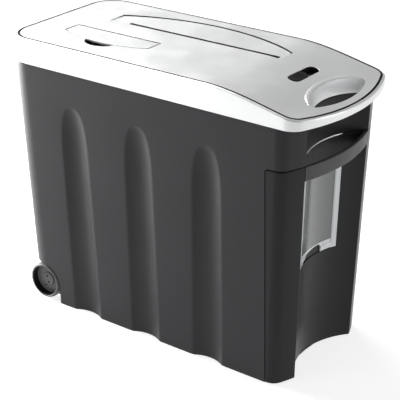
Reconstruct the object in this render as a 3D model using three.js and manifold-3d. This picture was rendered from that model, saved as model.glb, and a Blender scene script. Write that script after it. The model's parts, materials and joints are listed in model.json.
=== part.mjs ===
// Paper and disc shredder with a pull-out bin. Millimetres, +Z up.
// x runs from the plain end (0) to the bowed bin end, y from near side to far side, z from the floor.
import * as THREE from 'three';
import { mergeVertices } from 'three/addons/utils/BufferGeometryUtils.js';
import Module from 'manifold-3d';

const wasm = await Module();
wasm.setup();

// Driving dimensions
const gap = 0.3;
const wall = 3;
const reach = 500; // past every face
const coverLength = 441;
const halfWidth = 98.7;
const bowRadius = 221;
const bodyLength = 428;
const bodyCorner = 34;
const coverCorner = 36;
const bodyTop = 325;
const coverTop = 356.8;
const coverWall = 2.6;
const coverDrop = 25;
const dropStart = 300;
const dropEnd = 475;
const endDraft = 12;
const sideDraft = 8.7;
const recessRadius = 104;
const recessApex = 392;
const binSeam = 382.8;
const binTop = 275;
const fluteCentres = [103.5, 203.5, 304];
const fluteTop = 282;
const wheelX = 37.2;
const wheelZ = 26.3;
const wheelRadius = 23.8;
const wheelFace = 92;
const wheelWidth = 16;
const wheelWeb = 7.5;
const archGap = 1.6;
const wellDepth = 72;
const axleRadius = 4;
const glandY = 55;
const glandZ = 300;
const modeLeft = 355;
const modeRight = 370;
const modeNear = -18;
const modeFar = 34;
const modeFloor = 343.4;
const modeStemX = 363;
const cutterZ = 305;
const shaftPitch = 30;
const rearCutterY = 39;
const cutterRadius = 17;
const spacerRadius = 11.5;
const shaftRadius = 5;
const discPitch = 24;
const discWidth = 11;
const firstDisc = 98;
const discFirst = firstDisc - 1.5 * discPitch;
const slotStart = 96.6;
const slotEnd = 318.5;
const plateLeft = 50;
const plateMiddle = 184;
const plateRight = 325;
const plateThickness = 3;
const plateTop = 324;
const chassisBottom = 270;
const chassisTop = 273;
const flapBack = -17.7;
const flapLeft = 50.5;
const flapRight = 178;
const flapThickness = 3;
const tieRodRadius = 4;
const motorY = -46;
const stageY = -24;
const driveTeeth = 24;
const pinionTeeth = 9;
const stageModule = 2 * (stageY - motorY) / (driveTeeth + pinionTeeth);

const finishes = {
  silver: { color: 0xc9cbcc, roughness: 0.36, metalness: 0.5 },
  charcoal: { color: 0x2b2c2e, roughness: 0.45, metalness: 0 },
  black: { color: 0x141516, roughness: 0.4, metalness: 0 },
  clear: { color: 0x9a9da0, roughness: 0.15, metalness: 0 },
  tray: { color: 0x3a3b3d, roughness: 0.55, metalness: 0 },
  wheel: { color: 0x5a5b5d, roughness: 0.5, metalness: 0 },
  steel: { color: 0xa9abad, roughness: 0.35, metalness: 0.9 },
  cutter: { color: 0x77797c, roughness: 0.4, metalness: 0.9 },
  nylon: { color: 0xd9d6cc, roughness: 0.5, metalness: 0 },
  brass: { color: 0xb08a45, roughness: 0.4, metalness: 0.8 },
  board: { color: 0x1f5a3a, roughness: 0.5, metalness: 0 },
};

const shredder = new THREE.Group();
shredder.position.x = -coverLength / 2;

// Solids from three.js geometries, and back again
function toSolid(geometry) {
  const bare = geometry.clone();
  bare.deleteAttribute('normal');
  bare.deleteAttribute('uv');
  const merged = mergeVertices(bare, 1e-4);
  const corners = merged.index.array;
  const kept = [];
  for (let i = 0; i < corners.length; i += 3) {
    const [a, b, c] = [corners[i], corners[i + 1], corners[i + 2]];
    if (a !== b && b !== c && c !== a) {
      kept.push(a, b, c);
    }
  }
  const mesh = new wasm.Mesh({
    numProp: 3,
    vertProperties: new Float32Array(merged.attributes.position.array),
    triVerts: new Uint32Array(kept),
  });
  return new wasm.Manifold(mesh);
}

function toGeometry(solid) {
  const mesh = solid.simplify(0.03).getMesh();
  const geometry = new THREE.BufferGeometry();
  geometry.setAttribute('position', new THREE.BufferAttribute(mesh.vertProperties, 3));
  geometry.setIndex(new THREE.BufferAttribute(mesh.triVerts, 1));
  return geometry;
}

function addPiece(name, solid, finish) {
  const mesh = new THREE.Mesh(toGeometry(solid), new THREE.MeshStandardMaterial(finishes[finish]));
  mesh.name = name;
  shredder.add(mesh);
}

function joined(solids) {
  return solids.reduce((total, solid) => total.add(solid));
}

// Simple solids, given by their limits
function block(x0, x1, y0, y1, z0, z1) {
  const box = new THREE.BoxGeometry(x1 - x0, y1 - y0, z1 - z0);
  box.translate((x0 + x1) / 2, (y0 + y1) / 2, (z0 + z1) / 2);
  return toSolid(box);
}

function rodAlongX(radius, x0, x1, y, z, sides = 12) {
  const rod = new THREE.CylinderGeometry(radius, radius, x1 - x0, sides);
  rod.rotateZ(-Math.PI / 2);
  rod.translate((x0 + x1) / 2, y, z);
  return toSolid(rod);
}

function rodAlongY(radius, y0, y1, x, z, sides = 12) {
  const rod = new THREE.CylinderGeometry(radius, radius, y1 - y0, sides);
  rod.translate(x, (y0 + y1) / 2, z);
  return toSolid(rod);
}

function postGeometry(radius, z0, z1, x, y, sides = 10) {
  const post = new THREE.CylinderGeometry(radius, radius, z1 - z0, sides);
  post.rotateX(Math.PI / 2);
  post.translate(x, y, (z0 + z1) / 2);
  return post;
}

function post(radius, z0, z1, x, y, sides = 10) {
  return toSolid(postGeometry(radius, z0, z1, x, y, sides));
}

function extruded(shape, z0, z1, curveSegments = 6) {
  const solid = new THREE.ExtrudeGeometry(shape, { depth: z1 - z0, bevelEnabled: false, curveSegments });
  solid.translate(0, 0, z0);
  return solid;
}

// Moves every corner of a geometry by a rule (x, y, z) => [x, y, z]
function reshaped(geometry, rule) {
  const place = geometry.attributes.position;
  for (let i = 0; i < place.count; i += 1) {
    place.setXYZ(i, ...rule(place.getX(i), place.getY(i), place.getZ(i)));
  }
  return geometry;
}

// The walls draw in towards the floor, evenly with depth below the body's top
function drafted(geometry) {
  return reshaped(geometry, (x, y, z) => {
    const depth = 1 - z / bodyTop;
    return [
      x + depth * endDraft * (1 - 2 * x / bodyLength),
      y * (1 - depth * sideDraft / halfWidth),
      z,
    ];
  });
}

// Plan outline: rounded plain end, straight sides, bowed bin end; inset draws every edge in
function bowedOutline(apex, leftCorner, rightCorner, inset = 0) {
  const bowCentre = apex - bowRadius;
  const cornerY = halfWidth - rightCorner;
  const cornerX = bowCentre + Math.sqrt((bowRadius - rightCorner) ** 2 - cornerY ** 2);
  const turn = Math.atan2(cornerY, cornerX - bowCentre);
  const leftY = halfWidth - leftCorner;
  const shape = new THREE.Shape();
  shape.absarc(leftCorner, -leftY, leftCorner - inset, Math.PI, 1.5 * Math.PI);
  shape.absarc(cornerX, -cornerY, rightCorner - inset, -Math.PI / 2, -turn);
  shape.absarc(bowCentre, 0, bowRadius - inset, -turn, turn);
  shape.absarc(cornerX, cornerY, rightCorner - inset, turn, Math.PI / 2);
  shape.absarc(leftCorner, leftY, leftCorner - inset, Math.PI / 2, Math.PI);
  shape.closePath();
  return shape;
}

function bodyBlank(inset, z0, z1) {
  return toSolid(drafted(extruded(bowedOutline(bodyLength, bodyCorner, 16, inset), z0, z1)));
}

// The upright hollow in the bin end, a round column of air
function recessColumn(grow) {
  const centre = recessApex + recessRadius;
  return toSolid(drafted(postGeometry(recessRadius + grow, -6, bodyTop + 8, centre, 0, 60)));
}

// One flute: a long round groove that narrows to a soft point at its top
function flute(centre, side, grow) {
  const straight = 31.5;
  const radii = [
    [38.6, -4],
    [37.2, 225],
    [36.4, 248],
    [34.8, 265],
    [33.0, 276],
    [straight, fluteTop],
    [27, fluteTop + 9],
  ];
  const profile = radii.map(([radius, z]) => new THREE.Vector2(radius + grow, z));
  profile.unshift(new THREE.Vector2(0, -4));
  profile.push(new THREE.Vector2(0, fluteTop + 9));
  const groove = new THREE.LatheGeometry(profile, 30);
  groove.rotateX(Math.PI / 2);
  return toSolid(reshaped(groove, (x, y, z) => {
    const depth = 1 - z / bodyTop;
    return [x + centre, y + side * (halfWidth + straight - depth * sideDraft), z];
  }));
}

function flutes(grow) {
  const grooves = [];
  for (const side of [-1, 1]) {
    for (const centre of fluteCentres) {
      grooves.push(flute(centre, side, grow));
    }
  }
  return joined(grooves);
}

// The corner space that a wheel turns in: an arch round the wheel, open downwards and endwards
function wheelWell(side, grow) {
  const arch = wheelRadius + archGap + grow;
  const inner = side * (wellDepth - grow);
  const outer = side * 110;
  const [y0, y1] = [Math.min(inner, outer), Math.max(inner, outer)];
  return joined([
    rodAlongY(arch, y0, y1, wheelX, wheelZ, 32),
    block(-6, wheelX, y0, y1, -6, wheelZ + arch - 0.05),
    block(-6, wheelX + arch - 0.05, y0, y1, -6, wheelZ),
  ]);
}

function wheelWells(grow) {
  return joined([wheelWell(-1, grow), wheelWell(1, grow)]);
}

function housing() {
  const outside = bodyBlank(0, 0, bodyTop).subtract(recessColumn(0));
  const inside = bodyBlank(wall, wall, bodyTop + 5)
    .subtract(recessColumn(wall))
    .subtract(flutes(wall))
    .subtract(wheelWells(wall));
  const binBay = joined([
    block(binSeam, reach, -120, 120, -6, binTop + gap),
    block(368, reach, -84, 84, wall, binTop + gap),
  ]);
  const runners = joined([-60, 60].map((y) => block(80, 366, y - 3, y + 3, wall - 0.5, 5.6)));
  return outside
    .subtract(inside)
    .subtract(flutes(0))
    .subtract(wheelWells(0))
    .subtract(binBay)
    .add(runners)
    .subtract(rodAlongY(axleRadius + 0.4, -90, 90, wheelX, wheelZ))
    .subtract(rodAlongX(8.4, -5, 10, glandY, glandZ, 24));
}

// Cover: the top face is level, then drops more and more steeply towards the bin end, easing off past it
function coverHeight(x) {
  const along = Math.min(Math.max((x - dropStart) / (dropEnd - dropStart), 0), 1);
  return coverTop - coverDrop * along * along * (3 - 2 * along);
}

function underCoverTop(lower, x0 = -20, x1 = 460) {
  const steps = 8;
  const side = new THREE.Shape();
  side.moveTo(x0, 200);
  side.lineTo(x1, 200);
  side.lineTo(x1, coverHeight(x1) - lower);
  for (let step = steps; step >= 0; step -= 1) {
    const x = dropStart + (dropEnd - dropStart) * step / steps;
    if (x > x0 && x < x1) {
      side.lineTo(x, coverHeight(x) - lower);
    }
  }
  side.lineTo(x0, coverHeight(x0) - lower);
  side.closePath();
  const slab = new THREE.ExtrudeGeometry(side, { depth: 240, bevelEnabled: false });
  slab.rotateX(Math.PI / 2);
  slab.translate(0, 120, 0);
  return toSolid(slab);
}

function coverBlank(inset, z0) {
  return toSolid(extruded(bowedOutline(coverLength, coverCorner, 20, inset), z0, coverTop + 4));
}

// Hand hole: an outline of two bowed sides with rounded ends, narrowing downwards like a funnel
const holeBack = 391;
const holeFront = 427;
const holeMiddle = (holeBack + holeFront) / 2;

function handHoleOutline(grow) {
  const [frontBow, backBow, tip] = [125, 92, 5];
  const bowCentre = holeFront - frontBow;
  const backCentre = holeBack + backBow;
  const [a, b] = [frontBow - tip, backBow - tip];
  const span = backCentre - bowCentre;
  const along = (a * a - b * b + span * span) / (2 * span);
  const tipX = bowCentre + along;
  const tipY = Math.sqrt(a * a - along * along);
  const turn = Math.atan2(tipY, along);
  const back = Math.atan2(tipY, tipX - backCentre);
  const shape = new THREE.Shape();
  shape.absarc(bowCentre, 0, frontBow + grow, -turn, turn);
  shape.absarc(tipX, tipY, tip + grow, turn, back);
  shape.absarc(backCentre, 0, backBow + grow, back, 2 * Math.PI - back);
  shape.absarc(tipX, -tipY, tip + grow, 2 * Math.PI - back, 2 * Math.PI - turn);
  shape.closePath();
  return shape;
}

function handHole(grow, z0, z1) {
  const [funnelBottom, funnelTop] = [326, 345];
  return toSolid(reshaped(extruded(handHoleOutline(grow), z0, z1), (x, y, z) => {
    const depth = (funnelTop - z) / (funnelTop - funnelBottom);
    return [holeMiddle + (x - holeMiddle) * (1 - 0.07 * depth), y * (1 - 0.03 * depth), z];
  }));
}

// Paper dish: straight front edge, bowed far edge, floor that falls towards the slot
const dishFront = 20.7;
const dishFar = 76;
const dishLeft = 70;
const dishRight = 322;
const dishDepth = 1.2;
const slotBack = 28.5;

function paperDish(grow, lower) {
  const shoulder = 46;
  const halfChord = (dishRight - dishLeft) / 2;
  const rise = dishFar - shoulder;
  const radius = (halfChord ** 2 + rise ** 2) / (2 * rise);
  const middle = (dishLeft + dishRight) / 2;
  const turn = Math.asin(halfChord / radius);
  const outline = new THREE.Shape();
  outline.moveTo(dishLeft - grow, dishFront - grow);
  outline.lineTo(dishRight + grow, dishFront - grow);
  outline.absarc(middle, dishFar - radius, radius + grow, Math.PI / 2 - turn, Math.PI / 2 + turn);
  outline.closePath();
  const slope = Math.atan2(dishDepth, dishFar - dishFront);
  const above = new THREE.BoxGeometry(400, 200, 60);
  above.translate(0, 0, 30);
  above.rotateX(slope);
  above.translate(middle, dishFar, coverTop - 1 - lower);
  return toSolid(extruded(outline, 320, coverTop + 6, 12)).intersect(toSolid(above));
}

// Leaf-shaped door over the disc slot, hinged along its straight back edge
function flapOutline(grow) {
  const [shoulder, front] = [-41, -55];
  const rise = shoulder - front;
  const halfChord = (flapRight - flapLeft) / 2;
  const radius = (halfChord ** 2 + rise ** 2) / (2 * rise);
  const middle = (flapLeft + flapRight) / 2;
  const turn = Math.asin(halfChord / radius);
  const outline = new THREE.Shape();
  outline.moveTo(flapRight + grow, flapBack + grow);
  outline.lineTo(flapLeft - grow, flapBack + grow);
  outline.absarc(middle, front + radius, radius + grow, 1.5 * Math.PI - turn, 1.5 * Math.PI + turn);
  outline.closePath();
  return outline;
}

const flapAxisY = flapBack - flapThickness / 2;
const flapAxisZ = coverTop - flapThickness / 2;
const thumbX = 116;

function thumbScoop(grow, z0) {
  const scoop = postGeometry(1, z0, coverTop + 4, 0, 0, 20);
  return toSolid(reshaped(scoop, (x, y, z) => [thumbX + x * (22 + grow), -51 + y * (18.5 + grow), z]));
}

const bossPlaces = [[22, -84], [22, 84], [345, -84], [345, 84]];

function topCover() {
  const under = underCoverTop(0);
  const shell = coverBlank(0, bodyTop + gap).intersect(under)
    .subtract(coverBlank(coverWall, bodyTop - 5).intersect(underCoverTop(coverWall)));
  const trays = joined([
    handHole(2.4, 326, 352),
    paperDish(2.4, 2.4),
    toSolid(extruded(flapOutline(2.6), 350.9, 356)),
    thumbScoop(2.4, 347.4),
    block(modeLeft - 2.4, modeRight + 2.4, modeNear - 2.4, modeFar + 2.4, modeFloor - 2.6, 347),
  ]).intersect(under);
  const bosses = joined(bossPlaces.map(([x, y]) => post(5, chassisTop + gap, coverTop - 1, x, y)));
  const openings = joined([
    handHole(0, 320, coverTop + 4),
    paperDish(0, 0),
    block(slotStart, slotEnd, dishFront, slotBack, 330, coverTop + 4),
    toSolid(extruded(flapOutline(0.5), coverTop - flapThickness - 0.4, coverTop + 4)),
    block(52, 178, -42, -36, 340, coverTop + 4),
    thumbScoop(0, 349.8),
    block(modeLeft, modeRight, modeNear, modeFar, modeFloor, coverTop + 4),
    block(modeStemX - 1.5, modeStemX + 1.5, -11, 23, 330, coverTop + 4),
    joined(bossPlaces.map(([x, y]) => post(1.5, chassisTop - 1, 300, x, y, 12))),
    rodAlongX(1.1, flapLeft - 4, flapRight + 4, flapAxisY, flapAxisZ, 8),
  ]);
  return shell.add(trays).add(bosses.intersect(under)).subtract(openings);
}

function discFlap() {
  const leaf = toSolid(extruded(flapOutline(0), coverTop - flapThickness, coverTop));
  const square = block(flapLeft - 1, flapRight + 1, flapAxisY, flapBack + 1, coverTop - 4, coverTop + 1);
  const roundEdge = rodAlongX(flapThickness / 2, flapLeft, flapRight, flapAxisY, flapAxisZ, 16);
  return leaf.subtract(square).add(roundEdge)
    .subtract(rodAlongX(1.0, flapLeft - 1, flapRight + 1, flapAxisY, flapAxisZ, 8));
}

function modeSlider() {
  const cap = block(modeLeft + 0.6, modeRight - 0.6, modeNear + 0.8, 11, modeFloor + 0.6, coverTop)
    .intersect(underCoverTop(-0.8));
  return cap.add(block(modeStemX - 1.1, modeStemX + 1.1, -9.2, -2.2, 333, modeFloor + 1.6));
}

function modeSwitchBody() {
  return block(356, 369, -19, 35, 326, 340.4)
    .subtract(block(modeStemX - 1.8, modeStemX + 1.8, -12, 24, 332, 345));
}

// Sleeves that lead paper and discs down to their cutters
function sleeve(x0, x1, y0, y1, z0, z1) {
  const skin = 2.2;
  return block(x0, x1, y0, y1, z0, z1)
    .subtract(block(x0 + skin, x1 - skin, y0 + skin, y1 - skin, z0 - 1, z1 + 1));
}

// Cutter shafts: a row of discs with narrow spacers between them
function cutterShaft(y, x0, x1, first, count, coreStart, coreEnd) {
  const profile = [[0, x0], [shaftRadius, x0], [shaftRadius, coreStart], [spacerRadius, coreStart]];
  for (let i = 0; i < count; i += 1) {
    const start = first + i * discPitch;
    const end = start + discWidth;
    profile.push([spacerRadius, start], [cutterRadius, start], [cutterRadius, end], [spacerRadius, end]);
  }
  profile.push([spacerRadius, coreEnd], [shaftRadius, coreEnd], [shaftRadius, x1], [0, x1]);
  const shaft = new THREE.LatheGeometry(profile.map(([r, x]) => new THREE.Vector2(r, x)), 10);
  shaft.rotateZ(-Math.PI / 2);
  shaft.translate(0, y, cutterZ);
  return toSolid(shaft);
}

function cutterComb(y, firstGap, x0, x1) {
  const fingers = [block(x0, x1, y - 2, y + 2, 279, 285.5)];
  for (let x = firstGap; x + 2 < x1; x += discPitch) {
    fingers.push(block(x - 2, x + 2, y - 2, y + 2, 285, 292.5));
  }
  return joined(fingers);
}

// Spur gear about the x axis; turn is the angle of its first tooth from +y, in teeth
function spurGear(teeth, module, x0, x1, y, z, turn, bore) {
  const pitchRadius = teeth * module / 2;
  const step = 2 * Math.PI / teeth;
  const shape = new THREE.Shape();
  const corners = [
    [-0.30, pitchRadius - 1.25 * module],
    [-0.11, pitchRadius + 0.9 * module],
    [0.11, pitchRadius + 0.9 * module],
    [0.30, pitchRadius - 1.25 * module],
  ];
  for (let tooth = 0; tooth < teeth; tooth += 1) {
    for (const [across, radius] of corners) {
      const angle = (tooth + turn + across) * step;
      const point = [radius * Math.cos(angle), radius * Math.sin(angle)];
      if (tooth === 0 && across === corners[0][0]) {
        shape.moveTo(...point);
      } else {
        shape.lineTo(...point);
      }
    }
  }
  shape.closePath();
  const gear = new THREE.ExtrudeGeometry(shape, { depth: x1 - x0, bevelEnabled: false });
  // the outline's (x, y) becomes (y, z) and the depth runs along x
  reshaped(gear, (a, b, c) => [x0 + c, y + a, z + b]);
  return toSolid(gear).subtract(rodAlongX(bore, x0 - 1, x1 + 1, y, z));
}

function bush(x, y, z) {
  return rodAlongX(7.4, x - 0.6, x + plateThickness + 0.6, y, z)
    .subtract(rodAlongX(shaftRadius + gap, x - 2, x + plateThickness + 2, y, z));
}

function framePlate(x, y0, y1, shaftYs, otherHoles) {
  const holes = shaftYs.map((y) => rodAlongX(8, x - 1, x + 4, y, cutterZ));
  for (const [y, z, radius] of otherHoles) {
    holes.push(rodAlongX(radius, x - 1, x + 4, y, z));
  }
  return block(x, x + plateThickness, y0, y1, chassisTop + gap, plateTop).subtract(joined(holes));
}

function headChassis() {
  const plate = bodyBlank(wall + 0.6, chassisBottom, chassisTop)
    .intersect(block(-5, 371, -120, 120, 260, 280))
    .subtract(flutes(wall + 0.6));
  const openings = joined([
    block(58, 321, -62, 57, 260, 280),
    joined(bossPlaces.map(([x, y]) => post(2.2, 260, 280, x, y, 12))),
    post(2.6, 260, 280, 366, 84.2, 12),
  ]);
  return plate.subtract(openings);
}

// Screw with its head at the low end of an upright shank
function uprightScrew(x, y, headZ, tipZ) {
  return post(3.6, headZ, headZ + 2.4, x, y, 14).add(post(1.2, headZ + 2, tipZ, x, y, 10));
}

// Bin: a tub behind a curved front
const tubLeft = 76;
const tubRight = 372.6;
const tubHalf = 84;
const tubTop = 262;
const tubBottom = 6;
const windowHalf = 40.5;
const windowBottom = 130;
const notchMiddle = 4;
const notchHalf = 15;
const windowTop = 250;

function tubBlank(inset, z0, z1) {
  const tub = new THREE.BoxGeometry(tubRight - tubLeft - 2 * inset, 2 * (tubHalf - inset), z1 - z0);
  tub.translate((tubLeft + tubRight) / 2, 0, (z0 + z1) / 2);
  const middle = (tubLeft + tubRight) / 2;
  return toSolid(reshaped(tub, (x, y, z) => {
    const depth = (tubTop - z) / (tubTop - tubBottom);
    return [middle + (x - middle) * (1 - 0.012 * depth), y * (1 - 0.083 * depth), z];
  }));
}

function windowCut() {
  return block(360, 470, 6 - windowHalf, windowHalf - 6, windowBottom + 12, windowTop - 6);
}

const binScrewPlaces = [[-62, 60], [62, 60], [-62, 246], [62, 246]];

function screwHolesAlongX(radius, x0, x1) {
  return joined(binScrewPlaces.map(([y, z]) => rodAlongX(radius, x0, x1, y, z, 12)));
}

function binTub() {
  const rim = block(tubLeft - 3, tubRight, -tubHalf - 3, tubHalf + 3, tubTop - 3, tubTop);
  return tubBlank(0, tubBottom, tubTop).add(rim)
    .subtract(tubBlank(2.5, tubBottom + 2.5, tubTop + 10))
    .subtract(windowCut())
    .subtract(screwHolesAlongX(2.3, 360, 375));
}

function binFront() {
  const face = bodyBlank(0, 0, bodyTop).subtract(recessColumn(0)).intersect(joined([
    block(binSeam + 0.5, reach, -120, 120, 1, binTop - gap),
    block(374, reach, -79.5, 79.5, 4, binTop - gap),
  ]));
  const hollow = bodyBlank(wall, -4, bodyTop).subtract(recessColumn(wall)).intersect(joined([
    block(binSeam + 0.5 + wall, reach, -120, 120, -4, binTop - gap - wall),
    block(377, reach, -76.5, 76.5, -4, binTop - gap - wall),
  ]));
  const paneSeat = recessColumn(1).intersect(
    block(360, 470, -windowHalf - gap, windowHalf + gap, windowBottom - gap, windowTop + gap),
  );
  return face.subtract(hollow).subtract(paneSeat).subtract(windowCut())
    .subtract(screwHolesAlongX(2.3, 370, 378.5));
}

function binWindow() {
  const pane = recessColumn(0.7).subtract(recessColumn(-1.3)).intersect(
    block(360, 430, -windowHalf, windowHalf, windowBottom, windowTop),
  );
  const notch = [notchMiddle - notchHalf, notchMiddle + notchHalf];
  return pane.subtract(block(360, 430, ...notch, windowBottom - 5, windowBottom + 8));
}

function binHandle() {
  const bow = bodyBlank(0, 0, bodyTop).subtract(bodyBlank(5, -4, bodyTop + 2));
  return bow.intersect(recessColumn(-gap)).intersect(block(392, reach, -100, 100, 257, binTop - gap));
}

function binScrew(y, z) {
  const seat = 371 + 1.6 * (z - tubBottom) / (tubTop - tubBottom) - 2.5 - gap;
  return rodAlongX(4, seat - 2.2, seat, y, z, 14).add(rodAlongX(1.8, seat - 0.5, 376.6, y, z, 10));
}

// Wheels on a fixed axle
function wheel(side) {
  const profile = [
    [4.6, 0],
    [21, 0],
    [wheelRadius, 2.5],
    [wheelRadius, wheelWidth - 2],
    [22.6, wheelWidth],
    [20.6, wheelWidth],
    [19.2, wheelWeb],
    [4.6, wheelWeb],
    [4.6, 0],
  ].map(([radius, along]) => new THREE.Vector2(radius, along));
  const rim = new THREE.LatheGeometry(profile, 24);
  return toSolid(placedOnAxle(rim, side, wheelFace - wheelWidth));
}

function wheelCap(side) {
  const profile = [[0, 0], [9.4, 0], [9.4, 0.8], [8.6, 1.4], [0, 1.8]];
  const cap = new THREE.LatheGeometry(profile.map(([r, along]) => new THREE.Vector2(r, along)), 20);
  return toSolid(placedOnAxle(cap, side, wheelFace - wheelWidth + wheelWeb + gap));
}

// Turns a lathed piece so that it points away from the body on the given side
function placedOnAxle(piece, side, start) {
  if (side < 0) {
    piece.rotateX(Math.PI);
  }
  piece.translate(wheelX, side * start, wheelZ);
  return piece;
}

function cordGland() {
  const profile = [[3.6, 0], [8, 0], [8, 4], [11, 4], [11, 6.6], [3.6, 6.6], [3.6, 0]];
  const gland = new THREE.LatheGeometry(profile.map(([r, x]) => new THREE.Vector2(r, x)), 16);
  gland.rotateZ(-Math.PI / 2);
  gland.translate(0.5, glandY, glandZ);
  return toSolid(gland);
}

function motor() {
  const profile = [
    [0, 235],
    [6, 235],
    [6, 238],
    [22, 238],
    [24, 241],
    [24, 315],
    [21, 318],
    [6, 318],
    [6, 323],
    [0, 323],
  ];
  const can = new THREE.LatheGeometry(profile.map(([r, x]) => new THREE.Vector2(r, x)), 18);
  can.rotateZ(-Math.PI / 2);
  can.translate(0, motorY, cutterZ);
  return toSolid(can);
}

function controlBoard() {
  return joined([
    block(350, 383, 14, 72, 300, 301.6),
    block(353, 365, 20, 36, 301.4, 309),
    block(370, 380, 24, 32, 301.4, 312),
    block(354, 378, 46, 64, 301.4, 306),
  ]);
}

// Assembly
addPiece('housing', housing(), 'charcoal');
addPiece('top_cover', topCover(), 'silver');
addPiece('disc_flap', discFlap(), 'silver');
addPiece('flap_pin', rodAlongX(0.7, flapLeft - 3.6, flapRight + 3.6, flapAxisY, flapAxisZ, 8), 'steel');
addPiece('mode_slider', modeSlider(), 'black');
addPiece('mode_switch_body', modeSwitchBody(), 'black');

addPiece('bin_tub', binTub(), 'tray');
addPiece('bin_front', binFront(), 'black');
addPiece('bin_window', binWindow(), 'clear');
addPiece('bin_handle', binHandle(), 'charcoal');
binScrewPlaces.forEach(([y, z], i) => addPiece(`bin_screw_${i + 1}`, binScrew(y, z), 'steel'));

for (const [name, side] of [['near', -1], ['far', 1]]) {
  addPiece(`wheel_${name}`, wheel(side), 'wheel');
  addPiece(`wheel_cap_${name}`, wheelCap(side), 'wheel');
}
const axleEnd = wheelFace - wheelWidth + wheelWeb - 0.6;
addPiece('wheel_axle', rodAlongY(axleRadius, -axleEnd, axleEnd, wheelX, wheelZ), 'steel');

addPiece('head_chassis', headChassis(), 'black');
addPiece('paper_sleeve', sleeve(92, 323, 17.5, 31.5, 324.6, 351), 'black');
addPiece('disc_sleeve', sleeve(48, 183, -46.5, -31.5, 324.6, 347), 'black');

const rodPlaces = [[64, 288], [64, 316], [-70, 285]];
const rodHoles = rodPlaces.map(([y, z]) => [y, z, tieRodRadius + gap]);
const shaftYs = [0, 1, 2, 3].map((i) => rearCutterY - i * shaftPitch);
const [rearY, frontY, discRearY, discFrontY] = shaftYs;
const driveHoles = [[stageY, cutterZ, 4.3], [motorY, cutterZ, 6.4]];
const leftPlate = framePlate(plateLeft, -78, 72, shaftYs, rodHoles);
const middlePlate = framePlate(plateMiddle, -78, -9.5, shaftYs.slice(2), rodHoles.slice(2));
const rightPlate = framePlate(plateRight, -78, 72, shaftYs.slice(0, 2), [...rodHoles, ...driveHoles]);
addPiece('frame_plate_left', leftPlate, 'steel');
addPiece('frame_plate_middle', middlePlate, 'steel');
addPiece('frame_plate_right', rightPlate, 'steel');
rodPlaces.forEach(([y, z], i) => {
  addPiece(`tie_rod_${i + 1}`, rodAlongX(tieRodRadius, 47.5, 330.5, y, z, 14), 'steel');
});

const cutters = [
  ['paper_cutter_rear', rearY, 331, firstDisc + discPitch / 2, 9, 96, 321],
  ['paper_cutter_front', frontY, 341, firstDisc, 9, 96, 321],
  ['disc_cutter_rear', discRearY, 190, discFirst, 5, 56, 182],
  ['disc_cutter_front', discFrontY, 190, discFirst + discPitch / 2, 5, 56, 182],
];
for (const [name, y, end, first, count, coreStart, coreEnd] of cutters) {
  addPiece(name, cutterShaft(y, 36, end, first, count, coreStart, coreEnd), 'cutter');
}
const bushes = [
  ['rear_left', plateLeft, rearY],
  ['rear_right', plateRight, rearY],
  ['front_left', plateLeft, frontY],
  ['front_right', plateRight, frontY],
  ['disc_rear_left', plateLeft, discRearY],
  ['disc_rear_right', plateMiddle, discRearY],
  ['disc_front_left', plateLeft, discFrontY],
  ['disc_front_right', plateMiddle, discFrontY],
];
for (const [name, x, y] of bushes) {
  addPiece(`bush_${name}`, bush(x, y, cutterZ), 'brass');
}
const gearNames = ['gear_rear', 'gear_front', 'gear_disc_rear', 'gear_disc_front'];
gearNames.forEach((name, i) => {
  const turn = i % 2 === 1 ? 0 : 0.5;
  const gear = spurGear(16, shaftPitch / 16, 38, 46, shaftYs[i], cutterZ, turn, shaftRadius + gap);
  addPiece(name, gear, 'nylon');
});
addPiece('drive_gear', spurGear(driveTeeth, 2, 331, 339, frontY, cutterZ, 0, shaftRadius + gap), 'nylon');
const stageGear = spurGear(pinionTeeth, 2, 331, 340.4, stageY, cutterZ, 0.5, 4.3)
  .add(spurGear(driveTeeth, stageModule, 340, 345, stageY, cutterZ, 0, 4.3));
addPiece('stage_gear', stageGear, 'nylon');
addPiece('stage_stud', rodAlongX(4, 323, 348, stageY, cutterZ, 16), 'steel');
addPiece('motor', motor(), 'steel');
addPiece('motor_pinion', spurGear(pinionTeeth, stageModule, 340, 346, motorY, cutterZ, 0.5, 2.3), 'brass');
addPiece('motor_shaft', rodAlongX(2, 323 + gap, 348, motorY, cutterZ, 14), 'steel');
const gapMiddle = firstDisc + discWidth + (discPitch - discWidth) / 2;
addPiece('cutter_comb_rear', cutterComb(rearY + 8, gapMiddle - discPitch / 2, 92, 323), 'black');
addPiece('cutter_comb_front', cutterComb(frontY - 8, gapMiddle, 92, 323), 'black');

addPiece('control_board', controlBoard(), 'board');
addPiece('cord_gland', cordGland(), 'black');
const [plungerX, plungerY] = [366, 84.2];
const switchBody = block(358, 374, 78, 89.4, chassisTop + gap, 290)
  .subtract(post(2.6, 270, 285, plungerX, plungerY, 14));
addPiece('bin_switch_body', switchBody, 'black');
addPiece('bin_switch_plunger', post(2, tubTop + gap, 282, plungerX, plungerY, 14), 'nylon');
bossPlaces.forEach(([x, y], i) => {
  addPiece(`cover_screw_${i + 1}`, uprightScrew(x, y, chassisBottom - 2.7, 296), 'steel');
});

export default shredder;
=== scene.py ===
import json
import math
import bpy
import numpy as np
from mathutils import Matrix, Vector


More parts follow.
